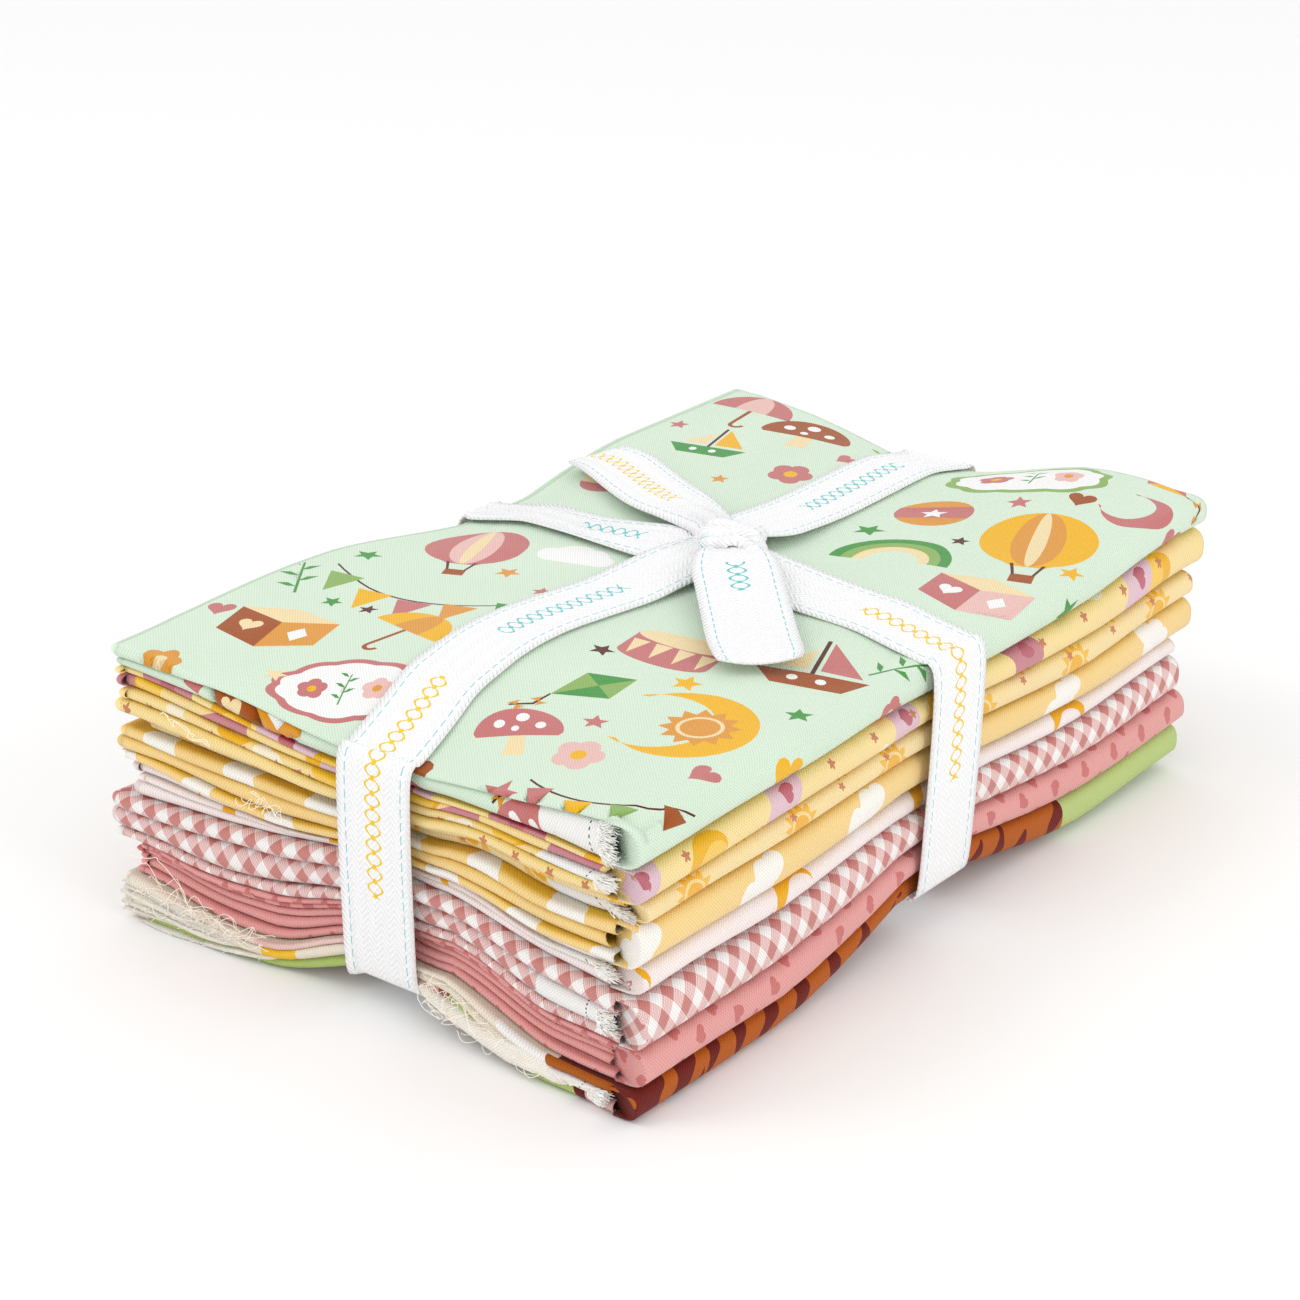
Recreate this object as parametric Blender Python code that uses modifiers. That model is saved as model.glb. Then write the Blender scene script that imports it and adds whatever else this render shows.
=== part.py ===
"""Fabric bundle: eight cloths, each folded back and forth, stacked and tied both ways with one ribbon.

Metres, +Z up. The origin is the middle of the underside of the object's box. X runs along the short side
and Y along the long side. Each cloth's layers are folded at the two Y ends, and its outer layer wraps
round the +X side.
"""

import math
from bisect import bisect_right
from collections import namedtuple

import bmesh
import bpy
import numpy as np
from mathutils import Vector

# Where the middle of the stack lies from the origin, which is the middle of the whole object's box
CENTRE = Vector((0.0024, -0.0008, 0.0))

# Driving dimensions of the stack
WIDTH = 0.190
LENGTH = 0.292
HEIGHT = 0.0865
SHEET = 0.0011
PIECE_GAP = 0.0005
HALF_X = WIDTH / 2
HALF_Y = LENGTH / 2

# How the tie draws the stack in at the middle of each side. press is how far the top goes down there
# and lift how far the base comes up round lift_at, each over its spread along the side. head and foot
# are where the tie crosses the top and bottom edges.
Pinch = namedtuple("Pinch", "axis sign press press_spread lift lift_spread lift_at head foot")
PINCHES = [
    Pinch("y", -1, 0.0102, 0.095, 0.0125, 0.052, 0.010, 0.002, 0.002),
    Pinch("x", 1, 0.0045, 0.090, 0.0150, 0.080, -0.004, 0.003, -0.0025),
    Pinch("y", 1, 0.0060, 0.080, 0.0070, 0.072, -0.003, -0.003, -0.003),
    Pinch("x", -1, 0.0050, 0.070, 0.0090, 0.090, 0.012, 0.012, 0.012),
]
SIDE_DRAW = 0.0042
PINCH_FLAT = 0.016
PINCH_POWER = 1.5

# The groove that the ribbon presses into the base, to the grid lines beside it
GROOVE_DEPTH = 0.0026
GROOVE_REACH = 0.030

# How far the stack reaches from its middle at its near and far ends, along its width
End = namedtuple("End", "x near far")
ENDS = [
    End(-0.095, 0.1460, 0.1505),
    End(-0.058, 0.1440, 0.1470),
    End(-0.016, 0.1405, 0.1380),
    End(0.020, 0.1405, 0.1390),
    End(0.048, 0.1435, 0.1480),
    End(0.095, 0.1460, 0.1440),
]

# Height of the top face over its four corners, and the upturned right far corner of the base
Corners = namedtuple("Corners", "left front right back")
TOP_RISE = Corners(left=-0.0004, front=-0.0008, right=0.0020, back=0.0022)
FAR_LIFT = 0.0055
FAR_LIFT_START = 0.030

# Where the top puffs up between the tie and the corners
Puff = namedtuple("Puff", "x y height reach")
PUFFS = [
    Puff(0.060, 0.130, 0.0055, 0.060),
    Puff(-0.095, -0.078, 0.0028, 0.070),
]

# One row for each cloth, from the base up. The five shares are its part of the stack's height at the
# left, front, right and back corners and under the tie at the near end. near, far, left and right are
# how far its folds stand out past the stack's outline, left at the left corner alone.
Cloth = namedtuple(
    "Cloth", "name layers near_fold at_left at_front at_right at_back at_tie near far left right colour"
)
CLOTHS = [
    Cloth("cloth_panel_print", 4, False, 0.165, 0.105, 0.130, 0.130, 0.115,
          0.0018, -0.0080, 0.0030, -0.0005, (0.45, 0.14, 0.03)),
    Cloth("cloth_heart_print", 4, True, 0.115, 0.115, 0.145, 0.130, 0.150,
          -0.0010, -0.0075, -0.0005, 0.0008, (0.72, 0.30, 0.30)),
    Cloth("cloth_gingham", 6, True, 0.165, 0.170, 0.140, 0.150, 0.235,
          0.0015, -0.0110, 0.0060, 0.0010, (0.80, 0.50, 0.48)),
    Cloth("cloth_moon_print", 4, True, 0.135, 0.115, 0.085, 0.105, 0.070,
          -0.0020, -0.0140, -0.0005, -0.0010, (0.93, 0.80, 0.78)),
    Cloth("cloth_cloud_print", 6, True, 0.120, 0.155, 0.135, 0.140, 0.115,
          0.0010, -0.0065, 0.0012, 0.0002, (0.92, 0.66, 0.27)),
    Cloth("cloth_sun_print", 4, True, 0.060, 0.075, 0.105, 0.090, 0.065,
          -0.0025, -0.0050, -0.0055, 0.0000, (0.93, 0.74, 0.40)),
    Cloth("cloth_toy_print", 6, True, 0.160, 0.120, 0.155, 0.130, 0.150,
          0.0005, -0.0020, 0.0012, 0.0008, (0.94, 0.76, 0.45)),
    Cloth("cloth_mint_print", 4, True, 0.080, 0.145, 0.105, 0.125, 0.100,
          0.0015, -0.0015, 0.0020, 0.0002, (0.76, 0.88, 0.74)),
]

# Grid lines of every layer between its own edges
LINES_X = (-0.058, -0.016, 0.020, 0.048)
LINES_Y = (-0.104, -0.052, -0.012, 0.026, 0.062, 0.108)
EDGE_MARGIN = 0.006
LATTICE_X = (-HALF_X - EDGE_MARGIN, *LINES_X, HALF_X + EDGE_MARGIN)
LATTICE_Y = (-HALF_Y - EDGE_MARGIN, *LINES_Y, HALF_Y + EDGE_MARGIN)
PINCH_DEPTH = {"x": 0.035, "y": 0.038}

# A fold bulges by up to FOLD_BULGE, and by no more than FOLD_SHARE of its height
FOLD_STEPS = 4
FOLD_BULGE = 0.0030
FOLD_SHARE = 0.6

# The wrap round the +X side. The powers make its profile boxier than a half circle.
WRAP_STEPS = 6
WRAP_DEPTH = 0.0060
WRAP_POWER_OUT = 0.55
WRAP_POWER_UP = 0.80
INNER_SETBACK = 0.0100

# How unevenly the layers reach their ends, and the phase from one cloth or layer to the next
RAGGED = 0.0010
CLOTH_PHASE = 2.4
LAYER_PHASE = 3.7

# The ribbon, and how far its middle stays from the cloth on the top, under the base and round the edges
RIBBON_WIDTH = 0.0265
RIBBON_THICKNESS = 0.0010
TOP_CLEAR = 0.0013
BASE_CLEAR = 0.0018
EDGE_CLEAR = 0.0032
FLOOR_CLEAR = 0.0003
CROSS_STEP = 0.0004
RING_LINES_X = (-0.058, -0.034, -0.016, 0.020, 0.034, 0.048)

# How far up the face each row of the ribbon is, and how much of the turn is still to come there
EDGE_TURN = 0.0060
FACE_ROWS = ((0.0, 0.45), (0.06, 0.0), (0.5, 0.0), (0.95, 0.0), (1.0, 0.45))
RIBBON_COLOUR = (0.90, 0.90, 0.90)

# The knot, how the strips rise to it from the cloth, and their width inside it
KNOT = Vector((-0.001, 0.014, 0.0942))
KNOT_RADII = (0.0120, 0.0105, 0.0063)
KNOT_SEGMENTS = 14
KNOT_RINGS = 8
KNOT_RISE_REACH = 0.065
KNOT_RISE_POWER = 1.6
STRIP_AT_KNOT = 0.014
GATHER_REACH = 0.030

# Middle of each free end of the ribbon, from the knot outwards, and how much its width arches
TAIL_ARCH = 0.0014
LONG_TAIL = (
    (-0.004, 0.018, 0.0952),
    (-0.016, 0.026, 0.0945),
    (-0.034, 0.037, 0.0920),
    (-0.054, 0.049, 0.0902),
    (-0.074, 0.060, 0.0896),
    (-0.086, 0.065, 0.0898),
    (-0.0925, 0.067, 0.0886),
)
SHORT_TAIL = (
    (0.002, 0.010, 0.0955),
    (0.010, 0.001, 0.0958),
    (0.022, -0.012, 0.0930),
    (0.038, -0.029, 0.0905),
    (0.058, -0.047, 0.0895),
)


def mix(a, b, t):
    return a + (b - a) * t


def smooth(t):
    t = min(1.0, max(0.0, t))
    return t * t * (3 - 2 * t)


def falloff(distance, flat, reach, power):
    """1 up to flat away, then down to 0 at reach."""
    rest = 1.0 - max(0.0, abs(distance) - flat) / (reach - flat)
    return max(0.0, rest) ** power


def pinch_weight(pinch, at, spread, x, y):
    """How strongly one pinch acts at a point of the plan: 1 round the given place on its own side."""
    along, across, half = (x, y, HALF_Y) if pinch.axis == "y" else (y, x, HALF_X)
    inwards = max(0.0, half - pinch.sign * across) / PINCH_DEPTH[pinch.axis]
    return falloff(along - at, PINCH_FLAT, spread, PINCH_POWER) * (1 - smooth(inwards))


def base_height(x, y):
    """Underside of the stack without the groove in which the ribbon lies."""
    lift = sum(p.lift * pinch_weight(p, p.lift_at, p.lift_spread, x, y) for p in PINCHES)
    beyond = max(0.0, y - FAR_LIFT_START) / (HALF_Y - FAR_LIFT_START)
    return lift + FAR_LIFT * beyond * max(0.0, x - LINES_X[-1]) / (HALF_X - LINES_X[-1])


def top_height(x, y):
    u = (x + HALF_X) / WIDTH
    v = (y + HALF_Y) / LENGTH
    near = mix(TOP_RISE.left, TOP_RISE.front, u)
    far = mix(TOP_RISE.back, TOP_RISE.right, u)
    press = sum(p.press * pinch_weight(p, p.head, p.press_spread, x, y) for p in PINCHES)
    puff = sum(p.height * smooth(1 - math.hypot(x - p.x, y - p.y) / p.reach) for p in PUFFS)
    return HEIGHT + mix(near, far, v) - press + puff


def share(cloth, x, y):
    """This cloth's part of the stack's height at a point of the plan."""
    u = (x + HALF_X) / WIDTH
    v = (y + HALF_Y) / LENGTH
    near = mix(cloth.at_left, cloth.at_front, u)
    far = mix(cloth.at_back, cloth.at_right, u)
    near_tie = max(0.0, 1 - abs(x) / HALF_X) * max(0.0, 1 - 2 * v)
    return mix(mix(near, far, v), cloth.at_tie, near_tie)


def boundary_at(index, x, y):
    shares = [share(cloth, x, y) for cloth in CLOTHS]
    base = base_height(x, y)
    return base + (top_height(x, y) - base) * sum(shares[:index]) / sum(shares)


def boundary(index, x, y):
    """Height of the face between cloth index - 1 and cloth index.

    It is flat in each triangle of the lattice, so that all layers lie parallel however they are cut.
    """
    i = min(max(bisect_right(LATTICE_X, x) - 1, 0), len(LATTICE_X) - 2)
    j = min(max(bisect_right(LATTICE_Y, y) - 1, 0), len(LATTICE_Y) - 2)
    x0, x1 = LATTICE_X[i:i + 2]
    y0, y1 = LATTICE_Y[j:j + 2]
    u = (x - x0) / (x1 - x0)
    v = (y - y0) / (y1 - y0)
    low = boundary_at(index, x0, y0)
    high = boundary_at(index, x1, y1)
    if u >= v:
        side = boundary_at(index, x1, y0)
        return low + u * (side - low) + v * (high - side)
    side = boundary_at(index, x0, y1)
    return low + v * (side - low) + u * (high - side)


def tie_x(y, on_top):
    """Middle of the strip that runs the long way, at this y."""
    near, far = (PINCHES[0].head, PINCHES[2].head) if on_top else (PINCHES[0].foot, PINCHES[2].foot)
    return mix(near, far, smooth((y + HALF_Y) / LENGTH))


def tie_y(x, on_top):
    """Middle of the strip that runs the short way, at this x."""
    near, far = (PINCHES[3].head, PINCHES[1].head) if on_top else (PINCHES[3].foot, PINCHES[1].foot)
    return mix(near, far, smooth((x + HALF_X) / WIDTH))


def underside(x, y):
    off = min(abs(x - tie_x(y, False)), abs(y - tie_y(x, False)))
    return max(boundary(0, x, y), GROOVE_DEPTH if off < GROOVE_REACH else 0.0)


def end_y(sign, x):
    """How far the stack reaches from its middle along Y, at this x."""
    return np.interp(x, [end.x for end in ENDS], [end.near if sign < 0 else end.far for end in ENDS])


def side_x(sign, y):
    """How far the stack reaches from its middle along X, at this y."""
    pinch = PINCHES[1] if sign > 0 else PINCHES[3]
    return HALF_X - SIDE_DRAW * falloff(y - pinch.head, PINCH_FLAT, pinch.press_spread, PINCH_POWER)


def layer_height(index, layer, x, y):
    """Mid-surface height of one layer of one cloth."""
    low = boundary(index, x, y) + (PIECE_GAP + SHEET) / 2
    high = boundary(index + 1, x, y) - (PIECE_GAP + SHEET) / 2
    if index == 0:
        low = underside(x, y) + SHEET / 2
    return mix(low, high, layer / (CLOTHS[index].layers - 1))


def wobble(index, layer):
    """A small uneven reach for each layer, between -1 and 1."""
    return math.sin(CLOTH_PHASE * index + LAYER_PHASE * layer)


def is_outer(index, layer):
    return layer in (0, CLOTHS[index].layers - 1)


def end_reach(index, layer, sign, x):
    """Y of the fold or cut edge of a layer at one end."""
    cloth = CLOTHS[index]
    own = cloth.near if sign < 0 else cloth.far
    return sign * (end_y(sign, x) + own + RAGGED * (wobble(index, layer) - 1))


def column_x(index, layer, column, y):
    """X of one grid line of a layer. The first and last follow the layer's own edges."""
    cloth = CLOTHS[index]
    if column == 0:
        left = cloth.left * max(0.0, -y / HALF_Y)
        return -(side_x(-1, y) + left + RAGGED * (wobble(index, layer // 2) - 1))
    if column <= len(LINES_X):
        return LINES_X[column - 1]
    setback = WRAP_DEPTH if is_outer(index, layer) else INNER_SETBACK + RAGGED * wobble(layer, index)
    return side_x(1, y) + cloth.right - setback


def layer_point(index, layer, column, y):
    x = column_x(index, layer, column, y)
    return Vector((x, y, layer_height(index, layer, x, y)))


def fold_points(index, layer, column, sign):
    """Points round the fold that joins a layer to the next one up, at the end on this side of Y."""
    x = column_x(index, layer, column, sign * HALF_Y)
    tip = end_reach(index, layer, sign, x) - sign * SHEET / 2
    rise = layer_height(index, layer + 1, x, tip) - layer_height(index, layer, x, tip)
    bulge = min(rise * FOLD_SHARE, FOLD_BULGE)
    start = layer_point(index, layer, column, tip - sign * bulge)
    finish = layer_point(index, layer + 1, column, tip - sign * bulge)
    points = [start]
    for step in range(1, FOLD_STEPS):
        angle = math.pi * step / FOLD_STEPS
        point = start.lerp(finish, (1 - math.cos(angle)) / 2)
        point.y += sign * bulge * math.sin(angle)
        points.append(point)
    return [*points, finish]


def column_path(index, column):
    """One grid line's whole path: the layers from the base up, joined by folds at alternate ends."""
    cloth = CLOTHS[index]
    sign = -1 if cloth.near_fold else 1
    x = column_x(index, 0, column, -sign * HALF_Y)
    path = [layer_point(index, 0, column, end_reach(index, 0, -sign, x))]
    for layer in range(cloth.layers):
        # sign is the end towards which this layer runs.
        ys = sorted(LINES_Y, reverse=sign < 0)
        path += [layer_point(index, layer, column, y) for y in ys]
        if layer + 1 < cloth.layers:
            path += fold_points(index, layer, column, sign)
            sign = -sign
    last = cloth.layers - 1
    x = column_x(index, last, column, sign * HALF_Y)
    path.append(layer_point(index, last, column, end_reach(index, last, sign, x)))
    return path


def bent_grid(paths):
    """A flat grid whose lines are laid along the given paths, as a bmesh."""
    bm = bmesh.new()
    across, along = len(paths), len(paths[0])
    made = bmesh.ops.create_grid(bm, x_segments=across - 1, y_segments=along - 1, size=1)
    for vert in made["verts"]:
        column = round((vert.co.x + 1) / 2 * (across - 1))
        row = round((vert.co.y + 1) / 2 * (along - 1))
        vert.co = paths[column][row]
    return bm


def add_wrap(bm, index, path, run):
    """The outer layer's turn round the +X side, from its bottom edge up to its top edge."""
    bands = []
    for low, high in zip(path[:run], reversed(path[-run:])):
        bulge = side_x(1, low.y) + CLOTHS[index].right - SHEET / 2 - low.x
        band = []
        for step in range(WRAP_STEPS + 1):
            angle = math.pi * (step / WRAP_STEPS - 0.5)
            turn = math.copysign(abs(math.sin(angle)) ** WRAP_POWER_UP, math.sin(angle))
            point = low.lerp(high, (1 + turn) / 2)
            point.x += bulge * max(0.0, math.cos(angle)) ** WRAP_POWER_OUT
            band.append(bm.verts.new(point))
        bands.append(band)
    for first, second in zip(bands, bands[1:]):
        for step in range(WRAP_STEPS):
            bm.faces.new((first[step], first[step + 1], second[step + 1], second[step]))


def split_quads(bm):
    """Splits every quad along the same diagonal of the plan, so that neighbouring layers stay parallel."""
    for face in [f for f in bm.faces if len(f.verts) == 4]:
        ordered = sorted(face.verts, key=lambda v: v.co.x + v.co.y)
        low, high = ordered[0], ordered[-1]
        if any(low in edge.verts and high in edge.verts for edge in face.edges):
            low, high = face.verts[0], face.verts[2]
        bmesh.utils.face_split(face, low, high)


def finished_mesh(bm, name):
    bmesh.ops.remove_doubles(bm, verts=bm.verts, dist=1e-6)
    split_quads(bm)
    bmesh.ops.recalc_face_normals(bm, faces=bm.faces)
    mesh = bpy.data.meshes.new(name)
    bm.to_mesh(mesh)
    bm.free()
    return mesh


def cloth_mesh(index):
    """The cloth's mid-surface: a flat grid bent along its folds, with the wrap joined on."""
    paths = [column_path(index, column) for column in range(len(LINES_X) + 2)]
    bm = bent_grid(paths)
    add_wrap(bm, index, paths[-1], len(LINES_Y) + 2)
    return finished_mesh(bm, CLOTHS[index].name)


def strip_width(x, y):
    """The ribbon's width on the top, gathered towards the knot."""
    away = math.hypot(x - KNOT.x, y - KNOT.y)
    return mix(STRIP_AT_KNOT, RIBBON_WIDTH, smooth(away / GATHER_REACH))


def crest(x, y):
    """Height of a strip on the top: on the cloth, and up to the knot near it."""
    away = math.hypot(x - KNOT.x, y - KNOT.y)
    rise = max(0.0, 1 - away / KNOT_RISE_REACH) ** KNOT_RISE_POWER
    return mix(boundary(len(CLOTHS), x, y) + TOP_CLEAR, KNOT.z, rise)


def ring_point(axis, along, part, on_top):
    """A point of the strip along this axis, part of its width to one side of its middle."""
    middle = Vector((tie_x(along, on_top), along) if axis == "y" else (along, tie_y(along, on_top)))
    width = strip_width(*middle) if on_top else RIBBON_WIDTH
    side = Vector((1, 0)) if axis == "y" else Vector((0, 1))
    x, y = middle + side * part * width
    floor = FLOOR_CLEAR + RIBBON_THICKNESS / 2 + (CROSS_STEP if axis == "x" else 0)
    z = crest(x, y) if on_top else max(floor, boundary(0, x, y) - BASE_CLEAR)
    return Vector((x, y, z))


def ring_face(axis, pinch, part):
    """The strip's run up one face, from where it leaves the base to where it meets the top."""
    reach = end_y if axis == "y" else side_x
    side = pinch.head + part * RIBBON_WIDTH
    out = pinch.sign * (reach(pinch.sign, side) + EDGE_CLEAR)
    bottom = ring_point(axis, out - pinch.sign * EDGE_TURN, part, False)
    top = ring_point(axis, out - pinch.sign * EDGE_TURN, part, True)
    rows = [bottom]
    for rise, turn in FACE_ROWS:
        point = bottom.lerp(top, rise)
        along = out - pinch.sign * EDGE_TURN * turn
        if axis == "y":
            point.y = along
        else:
            point.x = along
        rows.append(point)
    return [*rows, top]


def ring_path(axis, part):
    """Once round the stack along this axis, from the middle of the base."""
    near, far = (PINCHES[0], PINCHES[2]) if axis == "y" else (PINCHES[3], PINCHES[1])
    lines = LINES_Y if axis == "y" else RING_LINES_X
    crossing = KNOT.y if axis == "y" else KNOT.x
    tops = [line for line in lines if abs(line - crossing) > GATHER_REACH / 2]
    tops = sorted([*tops, crossing - GATHER_REACH / 2, crossing, crossing + GATHER_REACH / 2])
    return [
        *(ring_point(axis, along, part, False) for along in lines if along > 0),
        *ring_face(axis, far, part),
        *(ring_point(axis, along, part, True) for along in reversed(tops)),
        *reversed(ring_face(axis, near, part)),
        *(ring_point(axis, along, part, False) for along in lines if along < 0),
    ]


def ring_mesh(axis):
    """A closed strip round the stack, as an open surface to be thickened."""
    paths = [ring_path(axis, part) for part in (-0.5, 0, 0.5)]
    return finished_mesh(bent_grid([[*path, path[0]] for path in paths]), "ring_" + axis)


def tail_mesh(name, route):
    """A free end of the ribbon, arched across its width."""
    points = [Vector(p) for p in route]
    paths = [[], [], []]
    for i, point in enumerate(points):
        ahead = points[min(i + 1, len(points) - 1)] - points[max(i - 1, 0)]
        side = Vector((ahead.y, -ahead.x, 0)).normalized()
        width = strip_width(point.x, point.y)
        for path, part in zip(paths, (-0.5, 0, 0.5)):
            arch = TAIL_ARCH if part == 0 else 0
            path.append(point + side * part * width + Vector((0, 0, arch)))
    return finished_mesh(bent_grid(paths), name)


def material(name, colour, roughness):
    made = bpy.data.materials.new(name)
    made.use_nodes = True
    shader = made.node_tree.nodes["Principled BSDF"]
    shader.inputs["Base Color"].default_value = (*colour, 1)
    shader.inputs["Roughness"].default_value = roughness
    shader.inputs["Metallic"].default_value = 0
    return made


def add_sheet(name, mesh, thickness, collection):
    """An object whose open surface is thickened evenly to both sides."""
    obj = bpy.data.objects.new(name, mesh)
    obj.location = CENTRE
    collection.objects.link(obj)
    solidify = obj.modifiers.new("Solidify", "SOLIDIFY")
    solidify.thickness = thickness
    solidify.offset = 0
    return obj


def add_cloths(parts):
    for index, cloth in enumerate(CLOTHS):
        obj = add_sheet(cloth.name, cloth_mesh(index), SHEET, parts)
        obj.data.materials.append(material(cloth.name, cloth.colour, 0.9))


def add_ribbon(parts, helpers):
    """The ring round the long way, with the other ring, the knot and the free ends joined to it."""
    ribbon = add_sheet("tie_ribbon", ring_mesh("y"), RIBBON_THICKNESS, parts)
    ribbon.data.materials.append(material("tie_ribbon", RIBBON_COLOUR, 0.7))
    bpy.ops.mesh.primitive_uv_sphere_add(
        segments=KNOT_SEGMENTS, ring_count=KNOT_RINGS, radius=1, location=KNOT + CENTRE
    )
    knot = bpy.context.active_object
    knot.name = "knot"
    knot.scale = KNOT_RADII
    for collection in list(knot.users_collection):
        collection.objects.unlink(knot)
    helpers.objects.link(knot)
    joined = [
        add_sheet("ring_short", ring_mesh("x"), RIBBON_THICKNESS, helpers),
        add_sheet("tail_long", tail_mesh("tail_long", LONG_TAIL), RIBBON_THICKNESS, helpers),
        add_sheet("tail_short", tail_mesh("tail_short", SHORT_TAIL), RIBBON_THICKNESS, helpers),
        knot,
    ]
    for other in joined:
        other.hide_render = True
        other.display_type = "WIRE"
        union = ribbon.modifiers.new("Join " + other.name, "BOOLEAN")
        union.operation = "UNION"
        union.object = other


def main():
    for obj in list(bpy.data.objects):
        bpy.data.objects.remove(obj)
    parts = bpy.data.collections.new("fabric_bundle")
    helpers = bpy.data.collections.new("ribbon_pieces")
    bpy.context.scene.collection.children.link(parts)
    bpy.context.scene.collection.children.link(helpers)
    add_cloths(parts)
    add_ribbon(parts, helpers)


main()
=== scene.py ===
"""Looks of the fabric bundle: eight printed cottons, each a folded sheet, and the twill tape that ties them.

Metres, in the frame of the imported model. Every piece is laid on the same fields of heights and reaches
that its solid follows, with more folds, and then moved by CENTRE.
"""

import math
import random
from collections import namedtuple

import bmesh
import bpy
import numpy as np
from mathutils import Matrix, Vector
from mathutils.geometry import delaunay_2d_cdt


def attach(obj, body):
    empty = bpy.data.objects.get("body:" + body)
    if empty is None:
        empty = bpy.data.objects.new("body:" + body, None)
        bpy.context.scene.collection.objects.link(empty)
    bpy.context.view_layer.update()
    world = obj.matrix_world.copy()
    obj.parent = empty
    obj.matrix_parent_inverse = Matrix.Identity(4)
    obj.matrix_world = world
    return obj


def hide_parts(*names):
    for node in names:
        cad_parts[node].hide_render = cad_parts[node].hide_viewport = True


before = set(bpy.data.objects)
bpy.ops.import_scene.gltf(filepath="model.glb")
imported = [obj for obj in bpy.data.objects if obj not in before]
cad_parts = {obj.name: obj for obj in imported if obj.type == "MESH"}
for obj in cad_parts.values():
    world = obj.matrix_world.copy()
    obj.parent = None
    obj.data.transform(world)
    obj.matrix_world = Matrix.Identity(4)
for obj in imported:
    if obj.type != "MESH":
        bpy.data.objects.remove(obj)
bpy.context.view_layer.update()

# The stack, as in the part's source
CENTRE = Vector((0.0024, -0.0008, 0.0))
WIDTH = 0.190
LENGTH = 0.292
HEIGHT = 0.0865
HALF_X = WIDTH / 2
HALF_Y = LENGTH / 2

# The camera: its angles and distance, and how far it is shifted across and up
AZIMUTH = math.radians(38.18)
ELEVATION = math.radians(22.67)
CAMERA_DISTANCE = 0.9399
CAMERA_ASIDE = -0.0131
CAMERA_RAISED = 0.0165
CAMERA_AIM = 0.0436
FOCAL_PIXELS = 3070
PICTURE_PIXELS = 1300
SENSOR = 36.0

# Where the tape draws the stack in on each side: how far it presses the top down and lifts the base, over
# what reach, and where the tape runs on the top (head) and under the base (foot)
Pinch = namedtuple("Pinch", "axis sign press press_spread lift lift_spread lift_at head foot")
PINCHES = [
    Pinch("y", -1, 0.0102, 0.095, 0.0125, 0.052, 0.010, 0.002, 0.002),
    Pinch("x", 1, 0.0045, 0.090, 0.0150, 0.080, -0.004, 0.003, -0.0025),
    Pinch("y", 1, 0.0060, 0.080, 0.0070, 0.072, -0.003, -0.003, -0.003),
    Pinch("x", -1, 0.0050, 0.070, 0.0090, 0.090, 0.012, 0.012, 0.012),
]
PINCH_DEPTH = {"x": 0.035, "y": 0.038}
SIDE_DRAW = 0.0042
PINCH_FLAT = 0.016
PINCH_POWER = 1.5
GROOVE_DEPTH = 0.0026
GROOVE_REACH = 0.030

# How far the stack reaches from its middle to both ends, from place to place along X
End = namedtuple("End", "x near far")
ENDS = [
    End(-0.095, 0.1460, 0.1505),
    End(-0.058, 0.1440, 0.1470),
    End(-0.016, 0.1405, 0.1380),
    End(0.020, 0.1405, 0.1390),
    End(0.048, 0.1435, 0.1480),
    End(0.095, 0.1460, 0.1440),
]
Corners = namedtuple("Corners", "left front right back")
TOP_RISE = Corners(left=-0.0004, front=-0.0008, right=0.0020, back=0.0022)
FAR_LIFT = 0.0055
FAR_LIFT_START = 0.030
FAR_LIFT_FROM = 0.048
# Soft swells of the top
Puff = namedtuple("Puff", "x y height reach")
PUFFS = [Puff(0.060, 0.130, 0.0055, 0.060), Puff(-0.095, -0.078, 0.0028, 0.070), Puff(-0.004, -0.080, 0.0040, 0.064)]

# How high each cloth's own part of the stack is, in mm from the base up, along the near and the right face
Stand = namedtuple("Stand", "at panel heart gingham moon cloud sun toy mint")
NEAR_STANDS = [
    Stand(-0.088, 14.9, 9.7, 14.6, 11.7, 10.4, 4.1, 14.6, 6.0),
    Stand(-0.064, 8.0, 12.3, 18.5, 7.1, 11.5, 3.1, 14.2, 6.2),
    Stand(-0.040, 6.9, 14.6, 19.8, 2.9, 12.2, 2.5, 12.4, 7.0),
    Stand(-0.015, 11.5, 10.9, 16.9, 1.9, 9.2, 2.2, 11.6, 7.5),
    Stand(0.020, 5.0, 9.9, 16.6, 4.9, 6.6, 6.0, 10.7, 6.5),
    Stand(0.041, 11.2, 12.2, 17.6, 3.6, 13.6, 5.9, 7.9, 7.5),
    Stand(0.062, 9.8, 10.4, 20.3, 4.7, 10.0, 7.9, 12.1, 10.2),
    Stand(0.082, 9.7, 9.6, 18.9, 6.4, 8.7, 7.7, 10.0, 15.2),
    Stand(0.095, 9.0, 8.9, 15.5, 8.7, 14.3, 3.7, 10.4, 13.1),
]
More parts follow.
